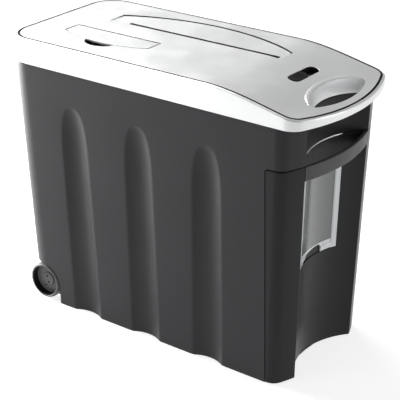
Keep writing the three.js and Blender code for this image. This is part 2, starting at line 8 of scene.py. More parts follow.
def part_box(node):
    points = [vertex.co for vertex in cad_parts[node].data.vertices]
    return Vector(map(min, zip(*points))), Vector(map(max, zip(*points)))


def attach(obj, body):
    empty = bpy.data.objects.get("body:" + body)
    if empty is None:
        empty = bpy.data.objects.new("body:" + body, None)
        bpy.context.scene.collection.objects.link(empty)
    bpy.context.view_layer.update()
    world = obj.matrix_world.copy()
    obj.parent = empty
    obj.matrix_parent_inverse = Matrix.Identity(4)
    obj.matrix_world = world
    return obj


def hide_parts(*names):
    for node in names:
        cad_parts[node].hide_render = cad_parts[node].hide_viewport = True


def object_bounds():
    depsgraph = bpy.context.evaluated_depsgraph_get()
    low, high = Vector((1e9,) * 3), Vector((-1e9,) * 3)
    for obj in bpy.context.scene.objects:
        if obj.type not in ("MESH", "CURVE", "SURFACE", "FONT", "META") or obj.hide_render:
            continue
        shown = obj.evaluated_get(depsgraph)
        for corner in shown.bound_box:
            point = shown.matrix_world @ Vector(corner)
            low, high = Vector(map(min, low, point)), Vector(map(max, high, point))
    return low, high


# Paper and disc shredder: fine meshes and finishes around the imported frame
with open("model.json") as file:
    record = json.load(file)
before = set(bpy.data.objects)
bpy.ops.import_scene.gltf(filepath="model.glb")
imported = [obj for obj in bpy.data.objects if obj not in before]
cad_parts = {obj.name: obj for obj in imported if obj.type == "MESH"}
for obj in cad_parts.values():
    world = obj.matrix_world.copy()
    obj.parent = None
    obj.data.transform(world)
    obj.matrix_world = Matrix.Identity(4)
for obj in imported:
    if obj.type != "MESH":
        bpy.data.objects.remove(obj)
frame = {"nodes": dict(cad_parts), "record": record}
cadLow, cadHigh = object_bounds()
print("frame loaded:", len(frame["nodes"]), "nodes")

# Shapes are worked out in millimetres, with x counted from the plain end
plainEnd = np.array([cadLow.x * 1000, 0, 0])


# A node's lowest and highest corner, counted from the plain end
def span(node):
    low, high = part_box(node)
    return np.array(low) * 1000 - plainEnd, np.array(high) * 1000 - plainEnd


# The point halfway between a node's two corners
def middleOf(node):
    low, high = span(node)
    return (low + high) / 2


bodyLow, bodyHigh = span("housing")
coverLow, coverHigh = span("top_cover")
bodyTop = bodyHigh[2]
slotOf = {part["node"]: part["material_slot"] for part in frame["record"]["subparts"]}
bodyOf = {node: name for name, members in frame["record"]["behaviour"]["bodies"].items() for node in members}


# Points on a circle's rim between two angles in degrees
def arc(x, y, radius, start, end, count):
    angle = np.radians(np.linspace(start, end, count))
    return np.column_stack([x + radius * np.cos(angle), y + radius * np.sin(angle)])


# Stretches of points joined into one closed loop, with the straight runs between them split every step
def closedLoop(stretches, step):
    loop = []
    for here, after in zip(stretches, stretches[1:] + stretches[:1]):
        run = after[0] - here[-1]
        length = np.hypot(*run)
        if length < 1e-3:
            loop.append(here[:-1])
            continue
        loop.append(here)
        count = int(length // step)
        share = np.arange(1, count + 1)[:, None] / (count + 1)
        loop.append(here[-1] + run * share)
    return np.concatenate(loop)


# Rectangle with round corners, anticlockwise
def roundedBox(x0, x1, y0, y1, radius, step=6, turns=7):
    corners = [(x1, y0, -90), (x1, y1, 0), (x0, y1, 90), (x0, y0, 180)]
    stretches = []
    for x, y, start in corners:
        cx = x - radius if x == x1 else x + radius
        cy = y - radius if y == y1 else y + radius
        stretches.append(arc(cx, cy, radius, start, start + 90, turns))
    return closedLoop(stretches, step)


# Every point of a loop moved straight inwards; a negative inset moves it outwards
def insetLoop(loop, inset):
    along = np.roll(loop, -1, axis=0) - np.roll(loop, 1, axis=0)
    along /= np.hypot(along[:, 0], along[:, 1])[:, None] + 1e-9
    return loop - np.column_stack([along[:, 1], -along[:, 0]]) * inset


# Corners of an open or closed line replaced by short parabolas, one cut length from each corner
def softened(line, cut, closed=False, steps=3):
    line = np.asarray(line, float)
    before = np.roll(line, 1, axis=0) - line
    after = np.roll(line, -1, axis=0) - line
    lengthBefore = np.linalg.norm(before, axis=1)[:, None] + 1e-9
    lengthAfter = np.linalg.norm(after, axis=1)[:, None] + 1e-9
    start = line + before / lengthBefore * np.minimum(cut, 0.45 * lengthBefore)
    end = line + after / lengthAfter * np.minimum(cut, 0.45 * lengthAfter)
    t = np.linspace(0, 1, steps + 1)[None, :, None]
    soft = (1 - t) ** 2 * start[:, None] + 2 * t * (1 - t) * line[:, None] + t ** 2 * end[:, None]
    if closed:
        return soft.reshape(-1, line.shape[1])
    return np.vstack([line[:1], soft[1:-1].reshape(-1, line.shape[1]), line[-1:]])


# Six times the volume enclosed by faces, as a sum of triple products over fans of triangles
def enclosed(points, faces):
    first = points[faces[:, :1]]
    fans = np.cross(points[faces[:, 1:-1]], points[faces[:, 2:]])
    return float(np.sum(first * fans))


# Closed mesh from quads and caps, with every face turned outwards
def putMesh(name, points, quads, caps=()):
    groups = [np.asarray(quads), *[np.asarray(cap)[None] for cap in caps]]
    if sum(enclosed(points, faces) for faces in groups) < 0:
        groups = [faces[:, ::-1] for faces in groups]
    corners = np.concatenate([faces.ravel() for faces in groups]).astype(np.int32)
    counts = np.concatenate([np.full(len(faces), faces.shape[1]) for faces in groups]).astype(np.int32)
    mesh = bpy.data.meshes.new(name)
    mesh.vertices.add(len(points))
    mesh.vertices.foreach_set("co", ((points + plainEnd) / 1000).astype(np.float32).ravel())
    mesh.loops.add(len(corners))
    mesh.loops.foreach_set("vertex_index", corners)
    mesh.polygons.add(len(counts))
    mesh.polygons.foreach_set("loop_start", np.concatenate([[0], np.cumsum(counts)[:-1]]).astype(np.int32))
    mesh.update(calc_edges=True)
    mesh.validate()
    piece = bpy.data.objects.new(name, mesh)
    bpy.context.scene.collection.objects.link(piece)
    return piece


# Closed loops stacked and joined by quads; the ends are closed by one face each, by strips between
# facing points of a loop that is its own mirror image, or by joining the last loop to the first
def ringMesh(name, rings, ends="faces"):
    levels, around = rings.shape[:2]
    index = np.arange(levels * around).reshape(levels, around)
    stacked = np.vstack([index, index[:1]]) if ends == "joined" else index
    turned = np.roll(stacked, -1, axis=1)
    quads = np.stack([stacked[:-1], turned[:-1], turned[1:], stacked[1:]], axis=-1).reshape(-1, 4)
    caps = []
    if ends == "faces":
        caps = [index[0][::-1], index[-1]]
    if ends == "strips":
        caps = [index[0][::-1]]
        last = index[-1]
        half = around // 2
        near, far = last[:half], last[::-1][:half]
        strips = np.stack([near[:-1], near[1:], far[1:], far[:-1]], axis=-1)
        quads = np.vstack([quads, strips])
    return putMesh(name, rings.reshape(-1, 3), quads, caps)


# A loop in plan raised through a profile of (inset, height) pairs
def raised(name, loop, profile, ends="faces"):
    rings = [np.column_stack([insetLoop(loop, inset), np.full(len(loop), z)]) for inset, z in profile]
    return ringMesh(name, np.stack(rings), ends)


# A profile of (radius, distance) pairs turned round an axis that runs along x, y or z from a start point
def turned(name, profile, axis, start, sides=48, ends="faces"):
    profile = np.asarray(profile, float)
    angle = np.linspace(0, 2 * math.pi, sides, endpoint=False)
    radius, along = profile[:, :1], profile[:, 1:]
    across = radius * np.cos(angle)
    up = radius * np.sin(angle)
    flat = np.broadcast_to(along, across.shape)
    order = {"x": (flat, across, up), "y": (up, flat, across), "z": (across, up, flat)}[axis]
    return ringMesh(name, np.stack(order, axis=-1) + np.asarray(start, float), ends)


# Box between two values on each axis
def block(name, x0, x1, y0, y1, z0, z1):
    loop = np.array([[x0, y0], [x1, y0], [x1, y1], [x0, y1]], float)
    rings = np.stack([np.column_stack([loop, np.full(4, z)]) for z in (z0, z1)])
    return ringMesh(name, rings)


# Applies a piece's modifiers and leaves it with a mesh of its own
def freeze(piece):
    scene = bpy.context.evaluated_depsgraph_get()
    done = bpy.data.meshes.new_from_object(piece.evaluated_get(scene))
    old = piece.data
    piece.modifiers.clear()
    piece.data = done
    done.materials.clear()
    bpy.data.meshes.remove(old)
    return piece


# Joins or cuts solids, one after the other, and removes the tools
def combined(piece, tools, operation="DIFFERENCE"):
    for tool in tools:
        step = piece.modifiers.new("combine", "BOOLEAN")
        step.operation = operation
        step.object = tool
        step.solver = "MANIFOLD"
    before = len(piece.data.polygons)
    freeze(piece)
    if len(piece.data.polygons) in (0, before):
        print("nothing changed:", piece.name, [tool.name for tool in tools])
    for tool in tools:
        bpy.data.objects.remove(tool)
    return piece


# Takes tools away from a piece
def cut(piece, *tools):
    return combined(piece, tools)


# Adds tools to a piece
def join(piece, *tools):
    return combined(piece, tools, "UNION")


# Round hole along an axis, between two distances on it
def hole(piece, radius, axis, place, reach, sides=28):
    return cut(piece, turned("hole", [(radius, reach[0]), (radius, reach[1])], axis, place, sides))


# Middles of a mesh's faces, in millimetres from the plain end
def faceMiddles(mesh):
    centres = np.zeros(len(mesh.polygons) * 3)
    mesh.polygons.foreach_get("center", centres)
    return (centres.reshape(-1, 3) * 1000 - plainEnd).T


# Gives a piece its finishes in order, and each face the number of the one it takes
def paint(piece, slots, index):
    for slot in slots:
        piece.data.materials.append(finishes[slot])
    piece.data.polygons.foreach_set("material_index", index.astype(np.int32))


# Puts a finished piece under its body, gives it its slot's finish if it has none yet, hides the node it stands for,
# and smooths it by angle
def finished(piece, node, sharp=32):
    mesh = piece.data
    mesh.polygons.foreach_set("use_smooth", np.ones(len(mesh.polygons), bool))
    mesh.set_sharp_from_angle(angle=math.radians(sharp))
    weighted = piece.modifiers.new("normals", "WEIGHTED_NORMAL")
    weighted.keep_sharp = True
    if not mesh.materials:
        mesh.materials.append(finishes[slotOf[node]])
    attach(piece, bodyOf[node])
    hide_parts(node)
    return piece


# Finishes: colour drifts a little over the part, fine grain moves the surface and the gloss
def makeFinish(slot, settings):
    colour = next(m["base_color"] for m in frame["record"]["materials"] if m["slot"] == slot)
    material = bpy.data.materials.new(slot)
    material.use_nodes = True
    nodes, links = material.node_tree.nodes, material.node_tree.links
    shader = nodes["Principled BSDF"]
    shader.inputs["Metallic"].default_value = settings.get("metallic", 0)
    shader.inputs["IOR"].default_value = 1.5
    shader.inputs["Specular IOR Level"].default_value = settings.get("specular", 0.5)
    shader.inputs["Coat Weight"].default_value = settings.get("coat", 0)
    shader.inputs["Coat Roughness"].default_value = 0.2
    shader.inputs["Transmission Weight"].default_value = settings.get("clear", 0)
    place = nodes.new("ShaderNodeTexCoord")
    stretch = nodes.new("ShaderNodeMapping")
    stretch.inputs["Scale"].default_value = settings.get("stretch", (1, 1, 1))
    links.new(place.outputs["Object"], stretch.inputs["Vector"])

    def noise(scale, detail, source=stretch):
        found = nodes.new("ShaderNodeTexNoise")
        found.inputs["Scale"].default_value = scale
        found.inputs["Detail"].default_value = detail
        links.new(source.outputs["Vector"], found.inputs["Vector"])
        return found.outputs["Fac"]

    def mapped(value, low, high):
        ramp = nodes.new("ShaderNodeMapRange")
        ramp.inputs["From Min"].default_value = 0.3
        ramp.inputs["From Max"].default_value = 0.7
        ramp.inputs["To Min"].default_value = low
        ramp.inputs["To Max"].default_value = high
        links.new(value, ramp.inputs["Value"])
        return ramp.outputs["Result"]

    grain = noise(settings["grain"], 3)
    drift = noise(settings.get("drift", 9), 4)
    shade = nodes.new("ShaderNodeMix")
    shade.data_type = "RGBA"
    spread = settings.get("spread", 0.1)
    colour = [part * settings.get("tone", 1) for part in colour[:3]]
    shade.inputs["A"].default_value = (*[c * (1 - spread) for c in colour], 1)
    shade.inputs["B"].default_value = (*[min(c * (1 + spread), 1) for c in colour], 1)
    both = nodes.new("ShaderNodeMath")
    both.operation = "MULTIPLY_ADD"
    both.inputs[1].default_value = settings.get("fleck", 0.4)
    links.new(mapped(grain, 0, 1), both.inputs[0])
    links.new(mapped(drift, 0, 1 - settings.get("fleck", 0.4)), both.inputs[2])
    links.new(both.outputs[0], shade.inputs["Factor"])
    links.new(shade.outputs["Result"], shader.inputs["Base Color"])
    gloss = noise(30, 5)
    low, high = settings["roughness"]
    links.new(mapped(gloss, low, high), shader.inputs["Roughness"])
    bump = nodes.new("ShaderNodeBump")
    bump.inputs["Strength"].default_value = settings.get("relief", 0.25)
    bump.inputs["Distance"].default_value = settings.get("depth", 0.05) / 1000
    links.new(grain, bump.inputs["Height"])
    links.new(bump.outputs["Normal"], shader.inputs["Normal"])
    return material


finishSettings = {
    "silver_cover": {"metallic": 0.42, "roughness": (0.3, 0.4), "grain": 2600, "fleck": 0.75, "spread": 0.05,
                     "relief": 0.12},
    "charcoal_shell": {"tone": 0.46, "specular": 0.2, "roughness": (0.34, 0.42), "grain": 1900, "spread": 0.1,
                       "relief": 0.25, "depth": 0.05},
    "bin_shell": {"tone": 0.5, "specular": 0.16, "roughness": (0.3, 0.4), "grain": 1900, "spread": 0.1,
                  "relief": 0.2, "depth": 0.05},
    "handle_grip": {"tone": 0.72, "specular": 0.3, "roughness": (0.42, 0.55), "grain": 1300, "spread": 0.2,
                    "relief": 0.6, "depth": 0.1},
    "clear_window": {"tone": 0.2, "roughness": (0.12, 0.2), "grain": 500, "spread": 0.04, "relief": 0.03,
                     "clear": 0.15, "coat": 0.6},
    "tray_plastic": {"roughness": (0.45, 0.58), "grain": 1500, "spread": 0.12, "relief": 0.35, "depth": 0.08},
    "black_trim": {"tone": 0.35, "specular": 0.2, "roughness": (0.38, 0.5), "grain": 1700, "spread": 0.15,
                   "relief": 0.3, "depth": 0.05},
    "wheel_plastic": {"tone": 0.66, "specular": 0.3, "roughness": (0.38, 0.5), "grain": 1500, "spread": 0.12,
                      "relief": 0.3, "depth": 0.06},
    "steel": {"metallic": 1, "roughness": (0.24, 0.4), "grain": 900, "stretch": (0.05, 1, 1), "spread": 0.12,
              "relief": 0.15},
    "cutter_steel": {"metallic": 1, "roughness": (0.28, 0.45), "grain": 800, "stretch": (1, 0.2, 0.2),
                     "spread": 0.25, "drift": 40, "relief": 0.2},
    "nylon": {"roughness": (0.4, 0.5), "grain": 1200, "spread": 0.05, "relief": 0.2},
    "brass": {"metallic": 1, "roughness": (0.3, 0.45), "grain": 1400, "spread": 0.15, "relief": 0.3},
    "circuit_board": {"roughness": (0.3, 0.45), "grain": 900, "spread": 0.2, "relief": 0.3, "coat": 0.4},
}
finishes = {slot: makeFinish(slot, settings) for slot, settings in finishSettings.items()}
print("finishes made")


# Camera, light and floor
cameraView = {"turn": 36.77, "down": 24.86, "roll": -0.34, "lens": 118.87, "place": (0.88865, -1.18678, 0.84473)}


# Camera turned about the upright, tipped down and rolled a little, by its three directions
def addCamera():
    turn, down, roll = (math.radians(cameraView[part]) for part in ("turn", "down", "roll"))
    right = Vector((math.cos(turn), math.sin(turn), 0))
    ahead = Vector((-math.sin(turn) * math.cos(down), math.cos(turn) * math.cos(down), -math.sin(down)))
    up = right.cross(ahead)
    tilted = right * math.cos(roll) + up * math.sin(roll)
    up = up * math.cos(roll) - right * math.sin(roll)
    data = bpy.data.cameras.new("viewCamera")
    data.lens = cameraView["lens"]
    camera = bpy.data.objects.new("viewCamera", data)
    camera.matrix_world = Matrix([
        (*row, place) for row, place in zip(zip(tilted, up, -ahead), cameraView["place"])
    ] + [(0, 0, 0, 1)])
    bpy.context.scene.collection.objects.link(camera)
    bpy.context.scene.camera = camera


# Soft lights, each with its place, its width and height, and its power
lightPlan = {
    "leftSoft": {"place": (-1.5, -0.2, 0.4), "size": (0.6, 0.7), "power": 66},
    "frontSoft": {"place": (-1.1, -1.8, 0.8), "size": (0.9, 0.9), "power": 9},
    "rightSoft": {"place": (1.5, 0.7, 0.7), "size": (0.4, 1.2), "power": 8},
    "topSoft": {"place": (-0.9, 0.3, 1.4), "size": (1.2, 1.0), "power": 23},
}
worldStrength = 0.25


# Area lights that all face the object, under an even white world
def addLights():
    for name, plan in lightPlan.items():
        data = bpy.data.lights.new(name, "AREA")
        data.shape = "RECTANGLE"
        data.size, data.size_y = plan["size"]
        data.energy = plan["power"]
        light = bpy.data.objects.new(name, data)
        light.location = plan["place"]
        aim = Vector((0, 0, 0.2)) - light.location
        light.rotation_euler = aim.to_track_quat("-Z", "Y").to_euler()
        bpy.context.scene.collection.objects.link(light)
    world = bpy.data.worlds.new("studio")
    bpy.context.scene.world = world
    world.use_nodes = True
    world.node_tree.nodes["Background"].inputs["Color"].default_value = (1, 1, 1, 1)
    world.node_tree.nodes["Background"].inputs["Strength"].default_value = worldStrength
    bpy.context.scene.view_settings.view_transform = "Standard"


# Pale matt floor just under the object
def addFloor():
    half = 4000
    floor = block("floor", -half, half, -half, half, cadLow.z * 1000 - 8, cadLow.z * 1000)
    material = bpy.data.materials.new("studioFloor")
    material.use_nodes = True
    nodes, links = material.node_tree.nodes, material.node_tree.links
    shader = nodes["Principled BSDF"]
    mottle = nodes.new("ShaderNodeTexNoise")
    mottle.inputs["Scale"].default_value = 1.5
    tint = nodes.new("ShaderNodeMapRange")
    tint.inputs["To Min"].default_value = 0.5
    tint.inputs["To Max"].default_value = 0.53
    links.new(mottle.outputs["Fac"], tint.inputs["Value"])
    links.new(tint.outputs["Result"], shader.inputs["Base Color"])
    shader.inputs["Roughness"].default_value = 0.9
    shader.inputs["Specular IOR Level"].default_value = 0.1
    shader.inputs["Emission Color"].default_value = (1, 1, 1, 1)
    shader.inputs["Emission Strength"].default_value = 0.72
    floor.data.materials.append(material)


addCamera()
addLights()
addFloor()
print("camera, lights and floor placed")


# Top cover
coverShape = {
    "bow": 221, "plainCorner": 36, "bowCorner": 20, "wall": 2.6, "drop": 25, "dropStart": 300, "dropEnd": 475,
    "edge": 2.2, "grooveIn": 2.7, "grooveWidth": 2.8, "grooveDepth": 1.9,
    "dishLeft": 70, "dishRight": 322, "dishFront": 20.7, "dishShoulder": 46, "dishFar": 76, "dishDepth": 0.8,
    "contourWidth": 1.1, "contourDepth": 1.9,
    "flapShoulder": -41, "flapSeat": 3.4, "discSlot": (52.5, 177.5, -42, -36),
    "slotLeft": 96.6, "slotRight": 318.5, "slotWidth": 7.8,
    "scoopMiddle": (116, -51), "scoopReach": (22, 18.5), "scoopFloor": 349.8,
    "holeNear": 125, "holeFront": 427, "holeFar": 92, "holeBack": 391, "holeTip": 5, "holeShift": 3, "lip": 1.3,
    "switchLow": (355, -18), "switchHigh": (370, 34), "switchFloor": 343.4, "switchCorner": 7,
    "bosses": ((22, -84), (22, 84), (345, -84), (345, 84)), "bossRadius": 5,
}
topZ = coverHigh[2]
halfWidth = bodyHigh[1]


# Height of the cover's top: level, then an S-shaped drop towards the bowed end
def coverHeight(x):
    share = np.clip((x - coverShape["dropStart"]) / (coverShape["dropEnd"] - coverShape["dropStart"]), 0, 1)
    return topZ - coverShape["drop"] * share ** 2 * (3 - 2 * share)


# Tells which points lie inside a closed loop, by counting the edges crossed towards +x
def insideLoop(x, y, loop):
    crossed = np.zeros(len(x), int)
    for (x0, y0), (x1, y1) in zip(loop, np.roll(loop, -1, axis=0)):
        if y0 != y1:
            meets = ((y0 > y) != (y1 > y)) & (x < x0 + (y - y0) * (x1 - x0) / (y1 - y0))
            crossed += meets
    return crossed % 2 == 1


# Tells which points lie inside a rectangle grown by a margin
def inBox(x, y, low, high, margin):
    inside = (x > low[0] - margin) & (x < high[0] + margin)
    return inside & (y > low[1] - margin) & (y < high[1] + margin)


# Turns a mirrored loop so that it starts just on the near side of the plain end's middle
def startedAtPlainEnd(loop):
    loop = loop[np.abs(loop[:, 1]) > 1e-3]
    start = np.argmin(np.where(loop[:, 1] < 0, loop[:, 0] * 1000 - loop[:, 1], np.inf))
    return np.roll(loop, -start, axis=0)


# Plan outline: round corners at the plain end, straight sides, and one long arc across the other end
def bowedLoop(apex, plainCorner, bowCorner, step=3):
    bow = coverShape["bow"]
    centre = apex - bow
    cornerY = halfWidth - bowCorner
    cornerX = centre + math.sqrt((bow - bowCorner) ** 2 - cornerY ** 2)
    turn = math.degrees(math.atan2(cornerY, cornerX - centre))
    plainY = halfWidth - plainCorner
    return startedAtPlainEnd(closedLoop([
        arc(plainCorner, -plainY, plainCorner, 180, 270, 14),
        arc(cornerX, -cornerY, bowCorner, -90, -turn, 16),
        arc(centre, 0, bow, -turn, turn, 64),
        arc(cornerX, cornerY, bowCorner, turn, 90, 16),
        arc(plainCorner, plainY, plainCorner, 90, 180, 14),
    ], step))


# Rings of a loop at heights under the cover's top, so that they follow its drop
def underTop(loop, profile):
    rings = []
    for inset, below in profile:
        moved = insetLoop(loop, inset)
        rings.append(np.column_stack([moved, coverHeight(moved[:, 0]) - below]))
    return rings


# Cutter for an opening in the top face: straight walls that flare at the face into a rounded edge
def mouthCutter(name, loop, floor, flare=0.5, grow=0.0):
    rings = []
    floorZ = floor if callable(floor) else (lambda points: np.full(len(points), float(floor)))
    inner = insetLoop(loop, -grow)
    for inset, share in ((0.6, 0), (0.18, 0.04), (0, 0.12), (0, 0.8)):
        moved = insetLoop(inner, inset)
        top = coverHeight(moved[:, 0]) - flare
        low = np.minimum(floorZ(moved), top - 0.1)
        rings.append(np.column_stack([moved, low + (top - low) * share]))
    rings += underTop(inner, [(0, flare), (-0.08 * flare, 0.62 * flare), (-0.29 * flare, 0.29 * flare),
                              (-0.62 * flare, 0.08 * flare), (-flare, -0.01), (-flare, -6)])
    return ringMesh(name, np.stack(rings))


# Cutter for a narrow groove in the top face that follows a line in plan
def grooveCutter(name, line, half, depth):
    along = np.gradient(line, axis=0)
    along /= np.hypot(along[:, 0], along[:, 1])[:, None]
    side = np.column_stack([along[:, 1], -along[:, 0]]) * half
    top = coverHeight(line[:, 0])
    corners = [(1, 2), (-1, 2), (-1, -depth + 0.4), (0, -depth), (1, -depth + 0.4)]
    rings = [np.column_stack([line + side * across, top + up]) for across, up in corners]
    return ringMesh(name, np.stack(rings, axis=1))


# A stretch of an arc that crosses a chord: the curved side of the dish and of the flap
def leafLoop(left, right, straightY, shoulderY, apexY, corner=1.2, count=90):
    half = (right - left) / 2
    rise = abs(apexY - shoulderY)
    radius = (half ** 2 + rise ** 2) / (2 * rise)
    turn = math.degrees(math.asin(half / radius))
    middle = (left + right) / 2
    if apexY > straightY:
        stretch = arc(middle, apexY - radius, radius, 90 - turn, 90 + turn, count)
        ends = np.array([[left, straightY], [right, straightY]])
    else:
        stretch = arc(middle, apexY + radius, radius, 270 - turn, 270 + turn, count)
        ends = np.array([[right, straightY], [left, straightY]])
    rough = np.vstack([ends, stretch])
    soft = softened(rough, corner, closed=True, steps=4)
    return closedLoop([soft], 3)


# Height of the tray's floor, which rises evenly towards its far edge
def dishFloor(points):
    slope = coverShape["dishDepth"] / (coverShape["dishFar"] - coverShape["dishFront"])
    return topZ - 0.6 - slope * (coverShape["dishFar"] - points[:, 1])


# Hand hole: two bows that meet in round tips
def handHoleLoop(count=60):
    near, far, tip = coverShape["holeNear"], coverShape["holeFar"], coverShape["holeTip"]
    bowCentre = coverShape["holeFront"] - near
    backCentre = coverShape["holeBack"] + far
    a, b, reach = near - tip, far - tip, backCentre - bowCentre
    along = (a * a - b * b + reach * reach) / (2 * reach)
    tipX, tipY = bowCentre + along, math.sqrt(a * a - along * along)
    turn = math.degrees(math.atan2(tipY, along))
    back = math.degrees(math.atan2(tipY, tipX - backCentre))
    loop = closedLoop([
        arc(bowCentre, 0, near, -turn, turn, count),
        arc(tipX, tipY, tip, turn, back, 16),
        arc(backCentre, 0, far, back, 360 - back, count),
        arc(tipX, -tipY, tip, 360 - back, 360 - turn, 16),
    ], 3)
    return loop + [0, coverShape["holeShift"]]


# The hole's wall leans in as it goes down, like a funnel
def handHoleRings(profile):
    loop = handHoleLoop()
    middle = np.array([(coverShape["holeBack"] + coverShape["holeFront"]) / 2, 0])
    rings = []
    for inset, below in profile:
        depth = max(below, 0) / 19
        moved = middle + (insetLoop(loop, inset) - middle) * [1 - 0.07 * depth, 1 - 0.03 * depth]
        rings.append(np.column_stack([moved, coverHeight(moved[:, 0]) - below]))
    return rings


# Rounded rim behind the hand hole: full width at the back, fading out towards both tips and gone in front
def handHoleLip():
    loop = handHoleLoop()
    middle = np.mean(loop[:, 0])
    share = np.clip((middle + 2 - loop[:, 0]) / 14, 0.02, 1)[:, None]
    share = share * share * (3 - 2 * share)
    lip = coverShape["lip"]
    profile = softened([(0.5, 1.4), (0.5, -0.1), (-0.8, -lip), (-4.2, -lip), (-6.4, -0.5), (-7, 0.3), (-7, 1.4)],
                       0.9, closed=True, steps=3)
    rings = []
    for inset, below in profile:
        reach = inset * (0.12 + 0.88 * share) if inset < 0 else inset * np.ones_like(share)
        moved = loop + (insetLoop(loop, 1.0) - loop) * reach
        depth = np.where(below < 0, below * share[:, 0], below)
        rings.append(np.column_stack([moved, coverHeight(moved[:, 0]) - depth]))
    return ringMesh("holeLip", np.stack(rings)[::-1], "joined")


flapLow, flapHigh = span("disc_flap")


# Plan outline of the disc flap
def flapLoop():
    return leafLoop(flapLow[0], flapHigh[0], flapHigh[1], coverShape["flapShoulder"], flapLow[1])


